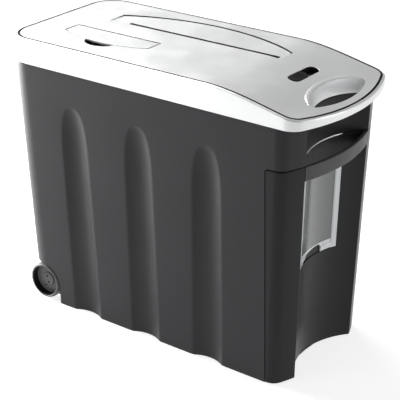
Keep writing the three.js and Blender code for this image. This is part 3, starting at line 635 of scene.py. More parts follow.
# Cover: a shell over the body, with the tray, the slots, the flap's seat and the hand hole cut into it
def buildCover():
    shape = coverShape
    wall = shape["wall"]
    loop = bowedLoop(coverHigh[0], shape["plainCorner"], shape["bowCorner"])
    base = coverLow[2] if coverLow[2] > bodyTop else bodyTop + 0.3
    edge = shape["edge"]
    rings = []
    for inset, share in ((0.6, 0), (0.15, 0.006), (0, 0.02), (0, 0.25), (0, 0.5), (0, 0.75), (0, 1)):
        moved = insetLoop(loop, inset)
        top = coverHeight(moved[:, 0]) - edge
        rings.append(np.column_stack([moved, base + (top - base) * share]))
    bend = np.radians(np.arange(15, 91, 15))
    groove = shape["grooveIn"]
    width, depth = shape["grooveWidth"], shape["grooveDepth"]
    profile = [(edge * (1 - math.cos(a)), edge * (1 - math.sin(a))) for a in bend]
    profile += [(groove - 0.15, 0), (groove, 0.12), (groove + 0.05, depth), (groove + width - 0.05, depth),
                (groove + width, 0.12), (groove + width + 0.15, 0)]
    rings += underTop(loop, profile)
    cover = ringMesh("topCover", np.stack(rings), "strips")
    hollow = [np.column_stack([insetLoop(loop, wall), np.full(len(loop), base - 2)])]
    hollow += underTop(loop, [(wall, wall + 2), (wall + 0.6, wall + 0.6), (wall + 2, wall)])
    cut(cover, ringMesh("hollow", np.stack(hollow), "strips"))

    dish = leafLoop(*[shape["dish" + part] for part in ("Left", "Right", "Front", "Shoulder", "Far")])
    tray = insetLoop(dish, -2.4)
    under = np.minimum(dishFloor(tray), coverHeight(tray[:, 0])) - 2.4
    dishTray = np.stack([np.column_stack([tray, under]), *underTop(tray, [(0, 1)])])
    flap = flapLoop()
    scoopX, scoopY = shape["scoopMiddle"]
    circle = arc(0, 0, 1, 0, 360, 73)[:-1]
    scoop = circle * shape["scoopReach"] + [scoopX, scoopY]
    switchWall = roundedBox(shape["switchLow"][0], shape["switchHigh"][0], shape["switchLow"][1],
                            shape["switchHigh"][1], shape["switchCorner"], 3)
    parts = [
        ringMesh("dishTray", dishTray),
        raised("flapTray", insetLoop(flap, -2.6), [(0, topZ - 5.9), (0, topZ - 1)]),
        raised("scoopTray", insetLoop(scoop, -2.4), [(0, shape["scoopFloor"] - 2.4), (0, topZ - 1)]),
        ringMesh("switchTray", np.stack([
            np.column_stack([insetLoop(switchWall, -2.4), np.full(len(switchWall), shape["switchFloor"] - 2.6)]),
            *underTop(switchWall, [(-2.4, 1)])])),
        ringMesh("holeSleeve", np.stack(handHoleRings([(-2.4, 17), (-2.4, 1)]))),
        handHoleLip(),
    ]
    boss, bossFoot = shape["bossRadius"], coverLow[2]
    for x, y in shape["bosses"]:
        profile = [(boss - 0.4, bossFoot), (boss, bossFoot + 0.4), (boss, coverHeight(x) - 1)]
        parts.append(turned("boss", profile, "z", (x, y, 0), 32))
    for part in parts:
        join(cover, part)

    slotRear = shape["dishFront"] + shape["slotWidth"]
    slot = roundedBox(shape["slotLeft"], shape["slotRight"], shape["dishFront"] + 0.3, slotRear, 1.6, 4)
    bowl = ((0.74, 7), (0.84, 6.6), (0.91, 5.4), (0.96, 3.2), (0.99, 0.6), (1.0, 0.15), (1.03, -0.01), (1.03, -5))
    contour = dish[(dish[:, 1] > shape["dishFront"] + 10)]
    contour = contour[np.argsort(-contour[:, 0])]
    holeRings = handHoleRings([(0.6, 30), (0.6, 17.6), (0, 16.6), (0, 8), (0, 2), (-0.05, -1), (-0.05, -6)])
    holeRings[0][:, 2] = base - 4
    tools = [
        mouthCutter("dishCut", dish, dishFloor),
        grooveCutter("dishContour", contour, shape["contourWidth"], shape["contourDepth"]),
        raised("slotCut", slot, [(0, base + 2), (0, topZ + 5)]),
        mouthCutter("flapCut", flap, topZ - shape["flapSeat"], 0.2, 1.5),
        raised("discSlotCut", roundedBox(*shape["discSlot"], 1.5, 4), [(0, base + 10), (0, topZ + 3)]),
        ringMesh("scoopCut", np.stack([
            np.column_stack([(scoop - [scoopX, scoopY]) * s + [scoopX, scoopY], np.full(len(scoop), topZ - d)])
            for s, d in bowl])),
        mouthCutter("switchCut", switchWall, shape["switchFloor"], 0.6),
        raised("stemCut", roundedBox(361.5, 364.5, -11, 23, 1.3, 4), [(0, 330), (0, topZ + 3)]),
        ringMesh("handHoleCut", np.stack(holeRings)),
        turned("pinHole", [(1.1, flapLow[0] - 4), (1.1, flapHigh[0] + 4)], "x", (0, *middleOf("flap_pin")[1:]), 20),
    ]
    for tool in tools:
        cut(cover, tool)
    for x, y in shape["bosses"]:
        hole(cover, 1.5, "z", (x, y, 0), (bossFoot - 1, 300), 24)
    x, y, z = faceMiddles(cover.data)
    low, high = shape["switchLow"], shape["switchHigh"]
    below = coverHeight(x) - z
    inSwitch = inBox(x, y, low, high, 0.01)
    inSwitch &= (z > shape["switchFloor"] - 1) & (below > 0.9)
    inScoop = (np.hypot((x - scoopX) / shape["scoopReach"][0], (y - scoopY) / shape["scoopReach"][1]) < 1.01)
    inScoop &= (below > 0.9) & (z > shape["scoopFloor"] - 1) & (y < -48)
    inSlot = inBox(x, y, (shape["slotLeft"], shape["dishFront"]), (shape["slotRight"], slotRear), 0.1)
    inSlot &= below > 1.3
    inFlap = inBox(x, y, flapLow, flapHigh, 1.8)
    inFlap &= (below > 0.15) & (below < 3.5)
    inGroove = (below > 0.3) & (below < shape["grooveDepth"] + 0.05) & (z > bodyTop + 8)
    inGroove &= ~(insideLoop(x, y, insetLoop(loop, groove + width + 0.3)))
    inGroove &= insideLoop(x, y, insetLoop(loop, groove - 0.1))
    away = np.min(np.hypot(x[:, None] - contour[None, ::3, 0], y[:, None] - contour[None, ::3, 1]), axis=1)
    inContour = (away < 2) & (below > 0.25) & (below < 2.2) & (np.abs(y - 26) > 8)
    # The switch pocket, the scoop, the paper slot, the gap round the flap, the groove round the top and the tray's
    # far contour take black_trim as painted shade in these hollows
    paintedShade = inSwitch | inScoop | inSlot | inFlap | inGroove | inContour
    paint(cover, ("silver_cover", "black_trim"), paintedShade)
    finished(cover, "top_cover")


buildCover()
print("top cover built")


# Body: a drafted shell with long flutes in both sides and a round recess in the bin end
bodyShape = {
    "length": 428, "endDraft": 12, "sideDraft": 8.7, "bow": 221, "plainCorner": 34, "bowCorner": 16, "wall": 3,
    "recessRadius": 104, "recessApex": 392, "crease": 1.5,
    "fluteCentres": (103.5, 203.5, 304), "fluteOut": 31.5, "fluteRadius": 38.6, "fluteBend": 225, "fluteTop": 282,
    "fluteEdge": 1.2,
    "seam": 383.3, "seamGap": 1.2, "seamCorner": 4, "binTop": 274.7, "bay": (368, 84), "runner": 60,
    "archRadius": 25.4, "wellDepth": 72, "bead": {"reach": 39, "radius": 0.8}, "axleHole": 4.4, "glandHole": 8.4,
    "screwHole": 2.3,
}


# The walls draw in towards the floor, evenly with the depth below the body's top
def drafted(points):
    x, y, z = points.T
    depth = 1 - z / bodyTop
    return np.column_stack([
        x + depth * bodyShape["endDraft"] * (1 - 2 * x / bodyShape["length"]),
        y * (1 - depth * bodyShape["sideDraft"] / halfWidth),
        z,
    ])


# Radius of a flute at a height: nearly even, then closing in a round shoulder at its top
def fluteRadius(z):
    shape = bodyShape
    foot = shape["fluteRadius"] - 1.4 * z / shape["fluteBend"]
    if z > shape["fluteTop"]:
        return shape["fluteOut"] - 0.5 * (z - shape["fluteTop"])
    share = max((z - shape["fluteBend"]) / (shape["fluteTop"] - shape["fluteBend"]), 0)
    return shape["fluteOut"] + (foot - shape["fluteOut"]) * (1 - share * share) ** 0.6


# How far a side is pressed in: the circle's height over the chord, with its corner rounded by a hyperbola
def fluteDepth(x, z, grow):
    radius = fluteRadius(z) + grow
    total = np.zeros_like(x)
    for centre in bodyShape["fluteCentres"]:
        over = np.sqrt(np.maximum(radius ** 2 - (x - centre) ** 2, 0)) - (bodyShape["fluteOut"] + grow)
        total = np.maximum(total, 0.5 * (over + np.sqrt(over * over + bodyShape["fluteEdge"] ** 2)))
    return total


# Places along a side, closer together near the two edges of each flute
def sidePlaces(z, last, fine):
    if not fine:
        return np.linspace(bodyShape["plainCorner"], last, 8)[1:-1]
    edge = np.array([0.86, 0.91, 0.95, 0.975, 1, 1.025, 1.05, 1.1, 1.17])
    across = np.concatenate([-edge[::-1], np.linspace(-0.8, 0.8, 17), edge])
    chord = math.sqrt(max(fluteRadius(z) ** 2 - bodyShape["fluteOut"] ** 2, 0))
    places = [np.array([float(bodyShape["plainCorner"])])]
    for centre in bodyShape["fluteCentres"]:
        group = centre + across * max(chord, 5)
        places.append(np.linspace(places[-1][-1], group[0], 5)[1:-1])
        places.append(group)
    places.append(np.linspace(places[-1][-1], last, 6)[1:-1])
    return np.concatenate(places)[1:]


# One level of the body's outline, with the recess, before the draft
def bodyRing(z, inset=0.0, fine=True, grow=0.0):
    shape = bodyShape
    centre = shape["length"] - shape["bow"]
    corner, plain = shape["bowCorner"], shape["plainCorner"]
    cornerY = halfWidth - corner
    cornerX = centre + math.sqrt((shape["bow"] - corner) ** 2 - cornerY ** 2)
    turn = math.degrees(math.atan2(cornerY, cornerX - centre))
    crease = max(shape["crease"] - inset, 0.25)
    hollow = shape["recessApex"] + shape["recessRadius"]
    a, b = shape["bow"] - inset - crease, shape["recessRadius"] + inset + crease
    reach = hollow - centre
    along = (a * a - b * b + reach * reach) / (2 * reach)
    creaseX, creaseY = centre + along, math.sqrt(a * a - along * along)
    first = math.degrees(math.atan2(creaseY, along))
    second = math.degrees(math.atan2(creaseY, hollow - creaseX))
    side = sidePlaces(z, cornerX, fine)
    press = fluteDepth(side, z, grow) if fine else np.zeros_like(side)
    near = np.column_stack([side, -(halfWidth - inset) + press])
    far = np.column_stack([side[::-1], (halfWidth - inset) - press[::-1]])
    plainY = halfWidth - plain
    loop = np.vstack([
        arc(plain, -plainY, plain - inset, 180, 270, 10),
        near,
        arc(cornerX, -cornerY, corner - inset, -90, -turn, 10),
        arc(centre, 0, shape["bow"] - inset, -turn, -first, 18)[1:-1],
        arc(creaseX, -creaseY, crease, -first, second, 8),
        arc(hollow, 0, shape["recessRadius"] + inset, 180 + second, 180 - second, 34)[1:-1],
        arc(creaseX, creaseY, crease, -second, first, 8),
        arc(centre, 0, shape["bow"] - inset, first, turn, 18)[1:-1],
        arc(cornerX, cornerY, corner - inset, turn, 90, 10),
        far,
        arc(plain, plainY, plain - inset, 90, 180, 10),
        np.column_stack([np.full(6, float(inset)), np.linspace(plainY, -plainY, 8)[1:-1]]),
    ])
    return np.column_stack([loop, np.full(len(loop), float(z))])


# A stack of levels, each given as (inset, height)
def bodySolid(name, levels, fine=True, grow=0.0):
    return ringMesh(name, np.stack([drafted(bodyRing(z, inset, fine, grow)) for inset, z in levels]))


# A flat outline in (x, z) carried from one y to another
def plankAlongY(name, loop, y0, y1):
    loop = np.asarray(loop, float)
    rings = np.stack([np.column_stack([loop[:, 0], np.full(len(loop), y), loop[:, 1]]) for y in (y1, y0)])
    return ringMesh(name, rings)


# Everything on the bin side of the seam, or all that is around it, with the round upper corner
def seamTool(name, inside, y0, y1, gap=0.0):
    shape = bodyShape
    x, top, radius = shape["seam"] - gap, shape["binTop"] + gap, shape["seamCorner"] + gap
    bend = arc(x + radius, top - radius, radius, 180, 90, 9)
    beyond = [(500, -20)] if inside else [(500, 340), (300, 340), (300, -20)]
    return plankAlongY(name, np.vstack([bend, (500, top), *beyond, (x, -20)]), y0, y1)


# Space that a wheel turns in: an arch round the wheel, open downwards and towards the plain end
def wheelSpace(name, side, grow):
    wheelX, wheelZ = middleOf("wheel_near")[[0, 2]]
    radius = bodyShape["archRadius"] + grow
    bend = arc(wheelX, wheelZ, radius, 0, 90, 28)
    loop = np.vstack([bend, [(-9, wheelZ + radius), (-9, -9), (wheelX + radius, -9)]])
    inner = side * (bodyShape["wellDepth"] - grow)
    y0, y1 = sorted([inner, side * 112])
    return plankAlongY(name, loop, y0, y1)


# How far each face's middle lies outside the recess's wall, as a distance from the recess's axis, and its height
def recessDistance(mesh):
    x, y, z = faceMiddles(mesh)
    shape = bodyShape
    depth = 1 - z / bodyTop
    x = (x - depth * shape["endDraft"]) / (1 - depth * 2 * shape["endDraft"] / shape["length"])
    y = y / (1 - depth * shape["sideDraft"] / halfWidth)
    return np.hypot(x - shape["recessApex"] - shape["recessRadius"], y) - shape["recessRadius"], z


# Thin bead along the lower edge of the panel above the bin, tapering at both ends; the housing paints it silver as a
# painted highlight
def beadAlongRecess(bead):
    hollow = bodyShape["recessApex"] + bodyShape["recessRadius"]
    rings = []
    section = arc(0, 0, 1, 0, 360, 17)[:-1]
    for y in np.linspace(-bead["reach"], bead["reach"], 60):
        size = bead["radius"] * min(1, 0.25 + (bead["reach"] - abs(y)) / 8)
        radius = bodyShape["recessRadius"] - 0.15 - section[:, 0] * size
        turn = math.pi - math.asin(y / bodyShape["recessRadius"])
        ring = np.column_stack([hollow + radius * math.cos(turn), radius * math.sin(turn),
                                bodyShape["binTop"] + 0.5 + bead["radius"] + section[:, 1] * size])
        rings.append(drafted(ring))
    return ringMesh("bead", np.stack(rings))


# Housing: the body's shell, hollowed, with arches, the seam, the bin's bay, rails and two round holes
def buildHousing():
    shape = bodyShape
    wall = shape["wall"]
    foot = [(0.9, 0), (0.35, 0.25), (0.05, 0.8), (0, 1.6)]
    levels = foot + [(0, z) for z in np.linspace(10, 218, 15)] + [(0, z) for z in np.linspace(225, 290, 44)]
    levels += [(0, 300), (0, 312), (0, bodyTop - 1), (0.25, bodyTop - 0.25), (0.6, bodyTop)]
    housing = bodySolid("bodyShell", levels)
    inner = [(wall, z) for z in (*np.linspace(wall, 218, 7), *np.linspace(225, 292, 18), bodyTop + 4)]
    hollow = bodySolid("bodyHollow", inner, grow=wall)
    for side in (-1, 1):
        cut(hollow, wheelSpace("keptArch", side, wall))
    cut(housing, hollow)
    for side in (-1, 1):
        cut(housing, wheelSpace("arch", side, 0))
    cut(housing, seamTool("seamEnd", True, -120, 120, shape["seamGap"]))
    back, half = shape["bay"]
    bayTop = shape["binTop"] + shape["seamGap"]
    cut(housing, block("bay", back, 440, -half, half, wall, bayTop))
    for y in (-shape["runner"], shape["runner"]):
        rail = roundedBox(80, 366, y - 3, y + 3, 2, 20, 5)
        join(housing, raised("rail", rail, [(0, wall - 1), (0, 5), (0.25, 5.4), (0.7, 5.6)]))
    axle = middleOf("wheel_axle")
    hole(housing, shape["axleHole"], "y", (axle[0], 0, axle[2]), (-110, 110), 32)
    gland = middleOf("cord_gland")
    hole(housing, shape["glandHole"], "x", (0, gland[1], gland[2]), (-6, 12), 40)
    join(housing, beadAlongRecess(shape["bead"]))
    # The recess wall above the bin's top takes black_trim as painted shade under the cover, and the bead takes
    # silver_cover as a painted highlight
    away, z = recessDistance(housing.data)
    index = np.where((away < 0.6) & (away > -2) & (z > shape["binTop"]), 1, 0)
    index[(away < -0.05) & (away > -2) & (z > shape["binTop"]) & (z < shape["binTop"] + 3.2)] = 2
    paint(housing, ("charcoal_shell", "black_trim", "silver_cover"), index)
    finished(housing, "housing", 40)


windowShape = {
    "opening": 34.5, "below": 12, "above": 6, "frame": 8, "foot": 7, "raise": 1.3, "radius": 104, "back": 0.7,
    "tab": (19.5, 4.4),
    "edgeHighlightFinish": {"tone": 1, "roughness": (0.12, 0.25), "grain": 500, "relief": 0.05, "coat": 0.8},
}


# Bin front: the drafted end beyond the seam as a shell, with a seat and an opening for the window
def buildBinFront():
    shape = bodyShape
    wall, top = shape["wall"], shape["binTop"]
    levels = [(0.8, 1), (0.3, 1.2), (0.05, 1.8), (0, 2.6), *[(0, z) for z in np.linspace(20, 262, 13)],
              (0, top - 1.6), (0.15, top - 0.7), (0.45, top - 0.2), (0.9, top)]
    front = bodySolid("binShell", levels, fine=False)
    cut(front, block("plainPart", -20, 374, -120, 120, -10, 300))
    for y0, y1 in ((-120, -79.5), (79.5, 120)):
        cut(front, seamTool("seamEdge", False, y0, y1))
    cut(front, block("footGap", 373, 383.3, -80, 80, -5, 4))
    hollow = bodySolid("binHollow", [(wall, -4), (wall, 120), (wall, top - wall)], fine=False)
    cut(hollow, block("keptPlate", -20, 377, -120, 120, -10, 300))
    for y0, y1 in ((-120, -76.5), (76.5, 120)):
        cut(hollow, block("keptSide", 370, shape["seam"] + wall, y0, y1, -10, 300))
    cut(front, hollow)
    low, high = span("bin_window")
    cut(front, columnBand("windowSeat", 96, 105, low[2] - 0.3, high[2] + 0.3, high[1] + 0.3))
    cut(front, windowOpening(360, 470))
    for index in (1, 2, 3, 4):
        place = middleOf(f"bin_screw_{index}")
        hole(front, shape["screwHole"], "x", (0, place[1], place[2]), (369, 378.5), 20)
    # The recess wall behind the band takes black_trim as painted shade cast by the band and the cover
    away, z = recessDistance(front.data)
    paint(front, ("bin_shell", "black_trim"), (away < 1.6) & (z > span("bin_handle")[0][2] - 12))
    finished(front, "bin_front", 40)


# Block of air behind the pane, between two distances from the plain end
def windowOpening(x0, x1):
    low, high = span("bin_window")
    half = windowShape["opening"]
    return block("windowOpening", x0, x1, -half, half, low[2] + windowShape["below"], high[2] - windowShape["above"])


# Part of a drafted ring of air about the recess's axis, between two radii and two heights
def columnBand(name, inner, outer, z0, z1, half, steps=30):
    hollow = bodyShape["recessApex"] + bodyShape["recessRadius"]
    y = np.linspace(-half, half, steps)
    front = np.column_stack([hollow - np.sqrt(inner ** 2 - y ** 2), y])
    back = np.column_stack([hollow - np.sqrt(outer ** 2 - y ** 2), y])[::-1]
    loop = np.vstack([front, back])
    rings = []
    for z in np.linspace(z0, z1, 12):
        ring = drafted(np.column_stack([loop, np.full(len(loop), z)]))
        ring[:, 1] = loop[:, 1]
        rings.append(ring)
    return ringMesh(name, np.stack(rings))


# Clear pane: a curved sheet whose border stands proud, with an arched notch and a tab in its lower edge
def buildWindow():
    shape = windowShape
    low, high = span("bin_window")
    hollow = bodyShape["recessApex"] + bodyShape["recessRadius"]
    half = high[1]
    step = np.array([0, 0.15, 0.5, 1.1])
    frameX = np.array([shape["frame"] - 1.2, shape["frame"] - 0.5, shape["frame"], shape["frame"] + 0.7])
    rib = np.array([2.6, 3.1, 4.0, 4.5])
    edge = np.concatenate([step, rib, frameX])
    y = np.concatenate([-half + edge, np.linspace(-half + 10, half - 10, 22), (half - edge)[::-1]])
    foot = np.concatenate([step, [3, 5], [shape["foot"] - 1, shape["foot"] - 0.3, shape["foot"] + 0.4]])
    z = np.concatenate([low[2] + foot, np.linspace(low[2] + 12, high[2] - 9, 14), high[2] - foot[::-1]])

    # How far the pane stands proud at a distance from its edge: a rounded rise, a level border, then a fall
    def stand(distance, width):
        inner = np.clip((distance - width + 0.9) / 1.4, 0, 1)
        outer = np.clip(distance / 1.1, 0, 1)
        groove = np.exp(-((distance - 3.55) / 0.45) ** 2) * 0.5
        return (outer * (2 - outer)) * (1 - inner * inner * (3 - 2 * inner)) - groove * (distance < 6)

    rings = []
    for level in z:
        across = half - np.abs(y)
        up = min(level - low[2], high[2] - level)
        raiseSide = stand(across, shape["frame"])
        raiseFoot = stand(np.full_like(across, up), shape["foot"]) * (np.clip(across / 1.1, 0, 1))
        proud = shape["raise"] * np.clip(np.maximum(raiseSide, raiseFoot), 0, 1)
        radius = shape["radius"] + 0.1 - proud
        front = np.column_stack([hollow - np.sqrt(radius ** 2 - y ** 2), y])
        rear = shape["radius"] + shape["back"] - 0.02
        back = np.column_stack([hollow - np.sqrt(rear ** 2 - y ** 2), y])[::-1]
        loop = np.vstack([front, back])
        ring = drafted(np.column_stack([loop, np.full(len(loop), level)]))
        ring[:, 1] = loop[:, 1]
        rings.append(ring)
    pane = ringMesh("pane", np.stack(rings))
    bottom = low[2]
    arch = [(-26, -4), (-26, 3.5), (-21, 5.5), (-10, 8.5), (4, 10.5), (14, 10.5), (15.5, 8), (15.5, -4)]
    arch = softened(np.array(arch) + [0, bottom], 1.4, closed=True)
    rings = np.stack([np.column_stack([np.full(len(arch), x), arch]) for x in (480, 360)])
    cut(pane, ringMesh("notch", rings))
    tabY, tabZ = shape["tab"][0], bottom + shape["tab"][1]
    tabX = drafted(np.array([[hollow - math.sqrt(shape["radius"] ** 2 - tabY ** 2), tabY, tabZ]]))[0, 0] - 0.6
    knob = [(0.2, -0.6), (2.6, -0.6), (2.9, -0.2), (2.9, 0.9), (2.6, 1.3), (1.6, 1.5), (0.2, 1.5)]
    join(pane, turned("tab", knob, "x", (tabX, tabY, tabZ), 28))
    # The proud border and the foot take a lighter, glossier copy of the pane's finish as a painted highlight
    finishes["windowEdgeHighlight"] = makeFinish("clear_window", shape["edgeHighlightFinish"])
    x, y, z = faceMiddles(pane.data)
    border = (np.abs(y) > half - shape["frame"]) | (z < low[2] + shape["foot"] + 5)
    paint(pane, ("clear_window", "windowEdgeHighlight"), border)
    finished(pane, "bin_window", 45)


# Band across the recess: a rounded section swept along the end's bow and trimmed by the recess
def buildHandle():
    shape = bodyShape
    low, high = span("bin_handle")
    centre = shape["length"] - shape["bow"]
    section = np.array([(0, low[2]), (0, high[2]), (-5, high[2]), (-5, low[2])], float)
    section = softened(section, 1.5, closed=True, steps=4)
    angle = np.radians(np.linspace(-23, 23, 70))
    rings = []
    for turn in angle:
        radius = shape["bow"] + section[:, 0]
        ring = np.column_stack([centre + radius * math.cos(turn), radius * math.sin(turn), section[:, 1]])
        rings.append(drafted(ring))
    band = ringMesh("band", np.stack(rings))
    hollow = shape["recessApex"] + shape["recessRadius"]
    circle = arc(hollow, 0, shape["recessRadius"] - 0.3, 0, 360, 121)[:-1]
    column = [drafted(np.column_stack([circle, np.full(len(circle), z)])) for z in (240, 290)]
    combined(band, [ringMesh("recessAir", np.stack(column))], "INTERSECT")
    finished(band, "bin_handle", 40)


buildHousing()
print("housing built")
buildBinFront()
buildWindow()
buildHandle()
print("bin front built")


# Disc flap: a leaf with eased edges, a hinge barrel along its straight edge and a plain ring mark
flapShape = {
    "thickness": 3, "ease": 0.5, "pinHole": 1.0, "markAt": (112, -33), "markDepth": 0.35,
    "rings": ((11, 60), (6.8, 48)), "ringWidth": 0.9, "dot": 2, "petals": (8.125, 0.9),
}


def buildFlap():
    shape = flapShape
    low, high = flapLow[2], flapHigh[2]
    ease = shape["ease"]
    bend = np.radians([0, 30, 60, 90])
    profile = [(ease * (1 - math.cos(a)), low + ease * (1 - math.sin(a))) for a in bend[::-1]]
    profile += [(ease * (1 - math.cos(a)), high - ease * (1 - math.sin(a))) for a in bend]
    leaf = raised("leaf", insetLoop(flapLoop(), 0.5), profile)
    axis = (0, *middleOf("flap_pin")[1:])
    cut(leaf, block("hingeEdge", 40, 190, axis[1], axis[1] + 10, low - 2, high + 2))
    radius, start, end = shape["thickness"] / 2, flapLow[0], flapHigh[0]
    barrel = [(radius - 0.3, start), (radius, start + 0.3), (radius, end - 0.3), (radius - 0.3, end)]
    join(leaf, turned("barrel", barrel, "x", axis, 32))
    hole(leaf, shape["pinHole"], "x", axis, (40, 190), 20)
    x, y = shape["markAt"]
    floor, wide = high - shape["markDepth"], shape["ringWidth"]
    for outer, sides in shape["rings"]:
        groove = [(outer - wide, floor), (outer - wide, high + 1), (outer, high + 1), (outer, floor)]
        cut(leaf, turned("ringMark", groove, "z", (x, y, 0), sides, "joined"))
    hole(leaf, shape["dot"], "z", (x, y, 0), (floor, high + 1), 24)
    away, size = shape["petals"]
    for turn in np.radians([30, 150, 270]):
        hole(leaf, size, "z", (x + away * math.cos(turn), y + away * math.sin(turn), 0), (floor, high + 1), 20)
    finished(leaf, "disc_flap", 40)


# Slider: a cap with round ends and finger ridges, on a stem that reaches the switch below
sliderShape = {"corner": 6.2, "stem": (363, 2.2, 7), "ridges": 5, "ridgeRadius": 0.8, "ridgeInset": 3}


def buildSlider():
    shape = sliderShape
    low, high = span("mode_slider")
    loop = roundedBox(low[0], high[0], low[1], high[1], shape["corner"], 2, 9)
    cap = underTop(loop, [(0, 0), (0, -0.3), (0.25, -0.62), (0.75, -0.75)])
    foot = np.column_stack([loop, np.full(len(loop), coverShape["switchFloor"] + 0.6)])
    cap = ringMesh("sliderCap", np.stack([foot, *cap]))
    x, wide, long = shape["stem"]
    stemY = low[1] + 8
    stem = roundedBox(x - wide / 2, x + wide / 2, stemY, stemY + long, 0.8, 2, 5)
    join(cap, raised("sliderStem", stem, [(0, low[2]), (0, coverShape["switchFloor"] + 2)]))
    rounded = arc(0, 0, shape["ridgeRadius"], 0, 360, 17)[:-1]
    ends = np.array([low[0] + shape["ridgeInset"], high[0] - shape["ridgeInset"]])
    for y in np.linspace(low[1] + 8, high[1] - 8, shape["ridges"]):
        rings = [np.column_stack([np.full(16, end), y + rounded[:, 0], top + 0.75 + rounded[:, 1] * 0.9])
                 for end, top in zip(ends, coverHeight(ends))]
        cut(cap, ringMesh("ridgeGroove", np.stack(rings)))
    finished(cap, "mode_slider", 35)


# Wheel: tyre with rounded shoulders, a deep dish and a flat web with two holes; cap in its middle
wheelShape = {"face": 92, "width": 16, "web": 7.5, "dish": 19.2, "bore": 4.6, "holes": (12.6, 62, 1.3),
              "gateMark": (17, -78), "capHoles": (1.3, 4.1, 1.25)}


def buildWheel(node, side):
    shape = wheelShape
    low, high = span(node)
    x, z = middleOf(node)[[0, 2]]
    outer = (high[0] - low[0]) / 2
    width, web, dish, bore = shape["width"], shape["web"], shape["dish"], shape["bore"]
    inner = shape["face"] - width
    tread = [(2.4, 0.2), (1.2, 0.9), (0.4, 1.9), (0, 3.2), (0, 6.6), (0.35, 6.8), (0.35, 7.2), (0, 7.4),
             (0, width - 3), (0.3, width - 1.6), (0.9, width - 0.5), (1.8, width), (3.0, width),
             (3.5, width - 0.4), (3.8, width - 1.2)]
    profile = [(bore, 0), (dish + 0.8, 0), *[(outer - trim, along) for trim, along in tread],
               (dish + 0.4, web + 2), (dish, web + 0.5), (dish - 0.6, web), (16.2, web), (15.9, web - 0.35),
               (15.3, web - 0.35), (15, web), (10.6, web), (bore, web)]
    profile = [(r, side * (inner + along)) for r, along in profile]
    wheel = turned("wheelBody", profile, "y", (x, 0, z), 72, "joined")

    # A place on the web, at a distance and a turn from the axle
    def onWeb(away, degrees):
        angle = math.radians(degrees)
        return (x + away * math.cos(angle), 0, z + away * math.sin(angle))

    away, degrees, radius = shape["holes"]
    reach = (side * (inner + web - 3), side * (inner + web + 1))
    for turn in (0, 180):
        hole(wheel, radius, "y", onWeb(away, turn + degrees), reach, 20)
    ends = [side * (inner + web + up) for up in (-0.6, -0.1, 0.6, 1.1)]
    mark = list(zip((1.5, 1.5, 1.5, 0.9), ends))
    join(wheel, turned("gateMark", mark, "y", onWeb(*shape["gateMark"]), 18))
    # The dish's inner wall takes black_trim as painted shade in the deep dish
    faceX, faceY, faceZ = faceMiddles(wheel.data)
    out = np.hypot(faceX - x, faceZ - z)
    wall = (out > dish - 0.2) & (out < dish + 1) & (np.abs(faceY) > inner + web + 0.1)
    paint(wheel, ("wheel_plastic", "black_trim"), wall)
    finished(wheel, node, 38)


# Wheel cap: a shallow dome with a groove round its rim and two holes whose walls are painted dark as shade
def buildWheelCap(node, side):
    low, high = span(node)
    x, z = middleOf(node)[[0, 2]]
    radius = (high[0] - low[0]) / 2
    start, end = (high[1], low[1]) if side < 0 else (low[1], high[1])
    tall = end - start
    steps = [(radius, 0), (radius, 0.35), (radius - 0.15, 0.5), (radius - 0.6, 0.68), (radius - 1.4, 0.75),
             (radius - 2, 0.62), (radius - 2.6, 0.75), (radius * 0.5, 0.94), (radius * 0.2, 1.0), (0.4, 1.0)]
    cap = turned("cap", [(r, start + tall * share) for r, share in steps], "y", (x, 0, z), 48)
    across, up, size = wheelShape["capHoles"]
    faceFrom = []
    for turn in (-1, 1):
        place = (x + turn * across, 0, z - turn * up)
        hole(cap, size, "y", place, (start + tall * 0.3, end + side * 0.5), 24)
        faceFrom.append(place)
    faceX, _, faceZ = faceMiddles(cap.data)
    offCentre = np.min([np.hypot(faceX - place[0], faceZ - place[2]) for place in faceFrom], axis=0)
    # The holes' walls take black_trim as painted shade
    paint(cap, ("wheel_plastic", "black_trim"), offCentre < size + 0.01)
    finished(cap, node, 38)


# Flat bands with round corners along the y direction, standing on edge: outline in (y, z), thick along x
def panel(name, loop, x0, x1, ease=0.3):
    rings = []
    for x, inset in ((x0, ease), (x0 + ease, 0), (x1 - ease, 0), (x1, ease)):
        moved = insetLoop(loop, inset)
        rings.append(np.column_stack([np.full(len(loop), x), moved]))
    return ringMesh(name, np.stack(rings))


# Solid of revolution whose radius may change round the turn: each profile entry gives radii and a distance
def shapedTurn(name, profile, y, z, angle, ends="faces"):
    rings = []
    for radius, x in profile:
        radius = np.broadcast_to(np.asarray(radius, float), angle.shape)
        x = np.full(len(angle), float(x))
        rings.append(np.column_stack([x, y + radius * np.cos(angle), z + radius * np.sin(angle)]))
    return ringMesh(name, np.stack(rings), ends)


# Radius round a gear: root and tip circles joined by straight flanks, a tooth centred at each whole turn share
def toothRadius(angle, teeth, module, turn, trim=0.0):
    pitch = teeth * module / 2
    place = angle / (2 * math.pi) * teeth - turn
    off = np.abs(place - np.round(place))
    flank = np.clip((0.3 - off) / 0.19, 0, 1)
    root, tip = pitch - 1.25 * module, pitch + 0.9 * module
    return np.maximum(root + (tip - root) * flank - trim, root - 0.4 * trim)


# Gear with chamfered teeth, a recessed web on both faces, a hub and a bore
gearShape = {"hubWall": 3, "rimWall": 1.8, "webDepth": 1.8, "chamfer": 0.5, "trim": 0.45, "spokes": 6,
             "spokeTurn": 15}


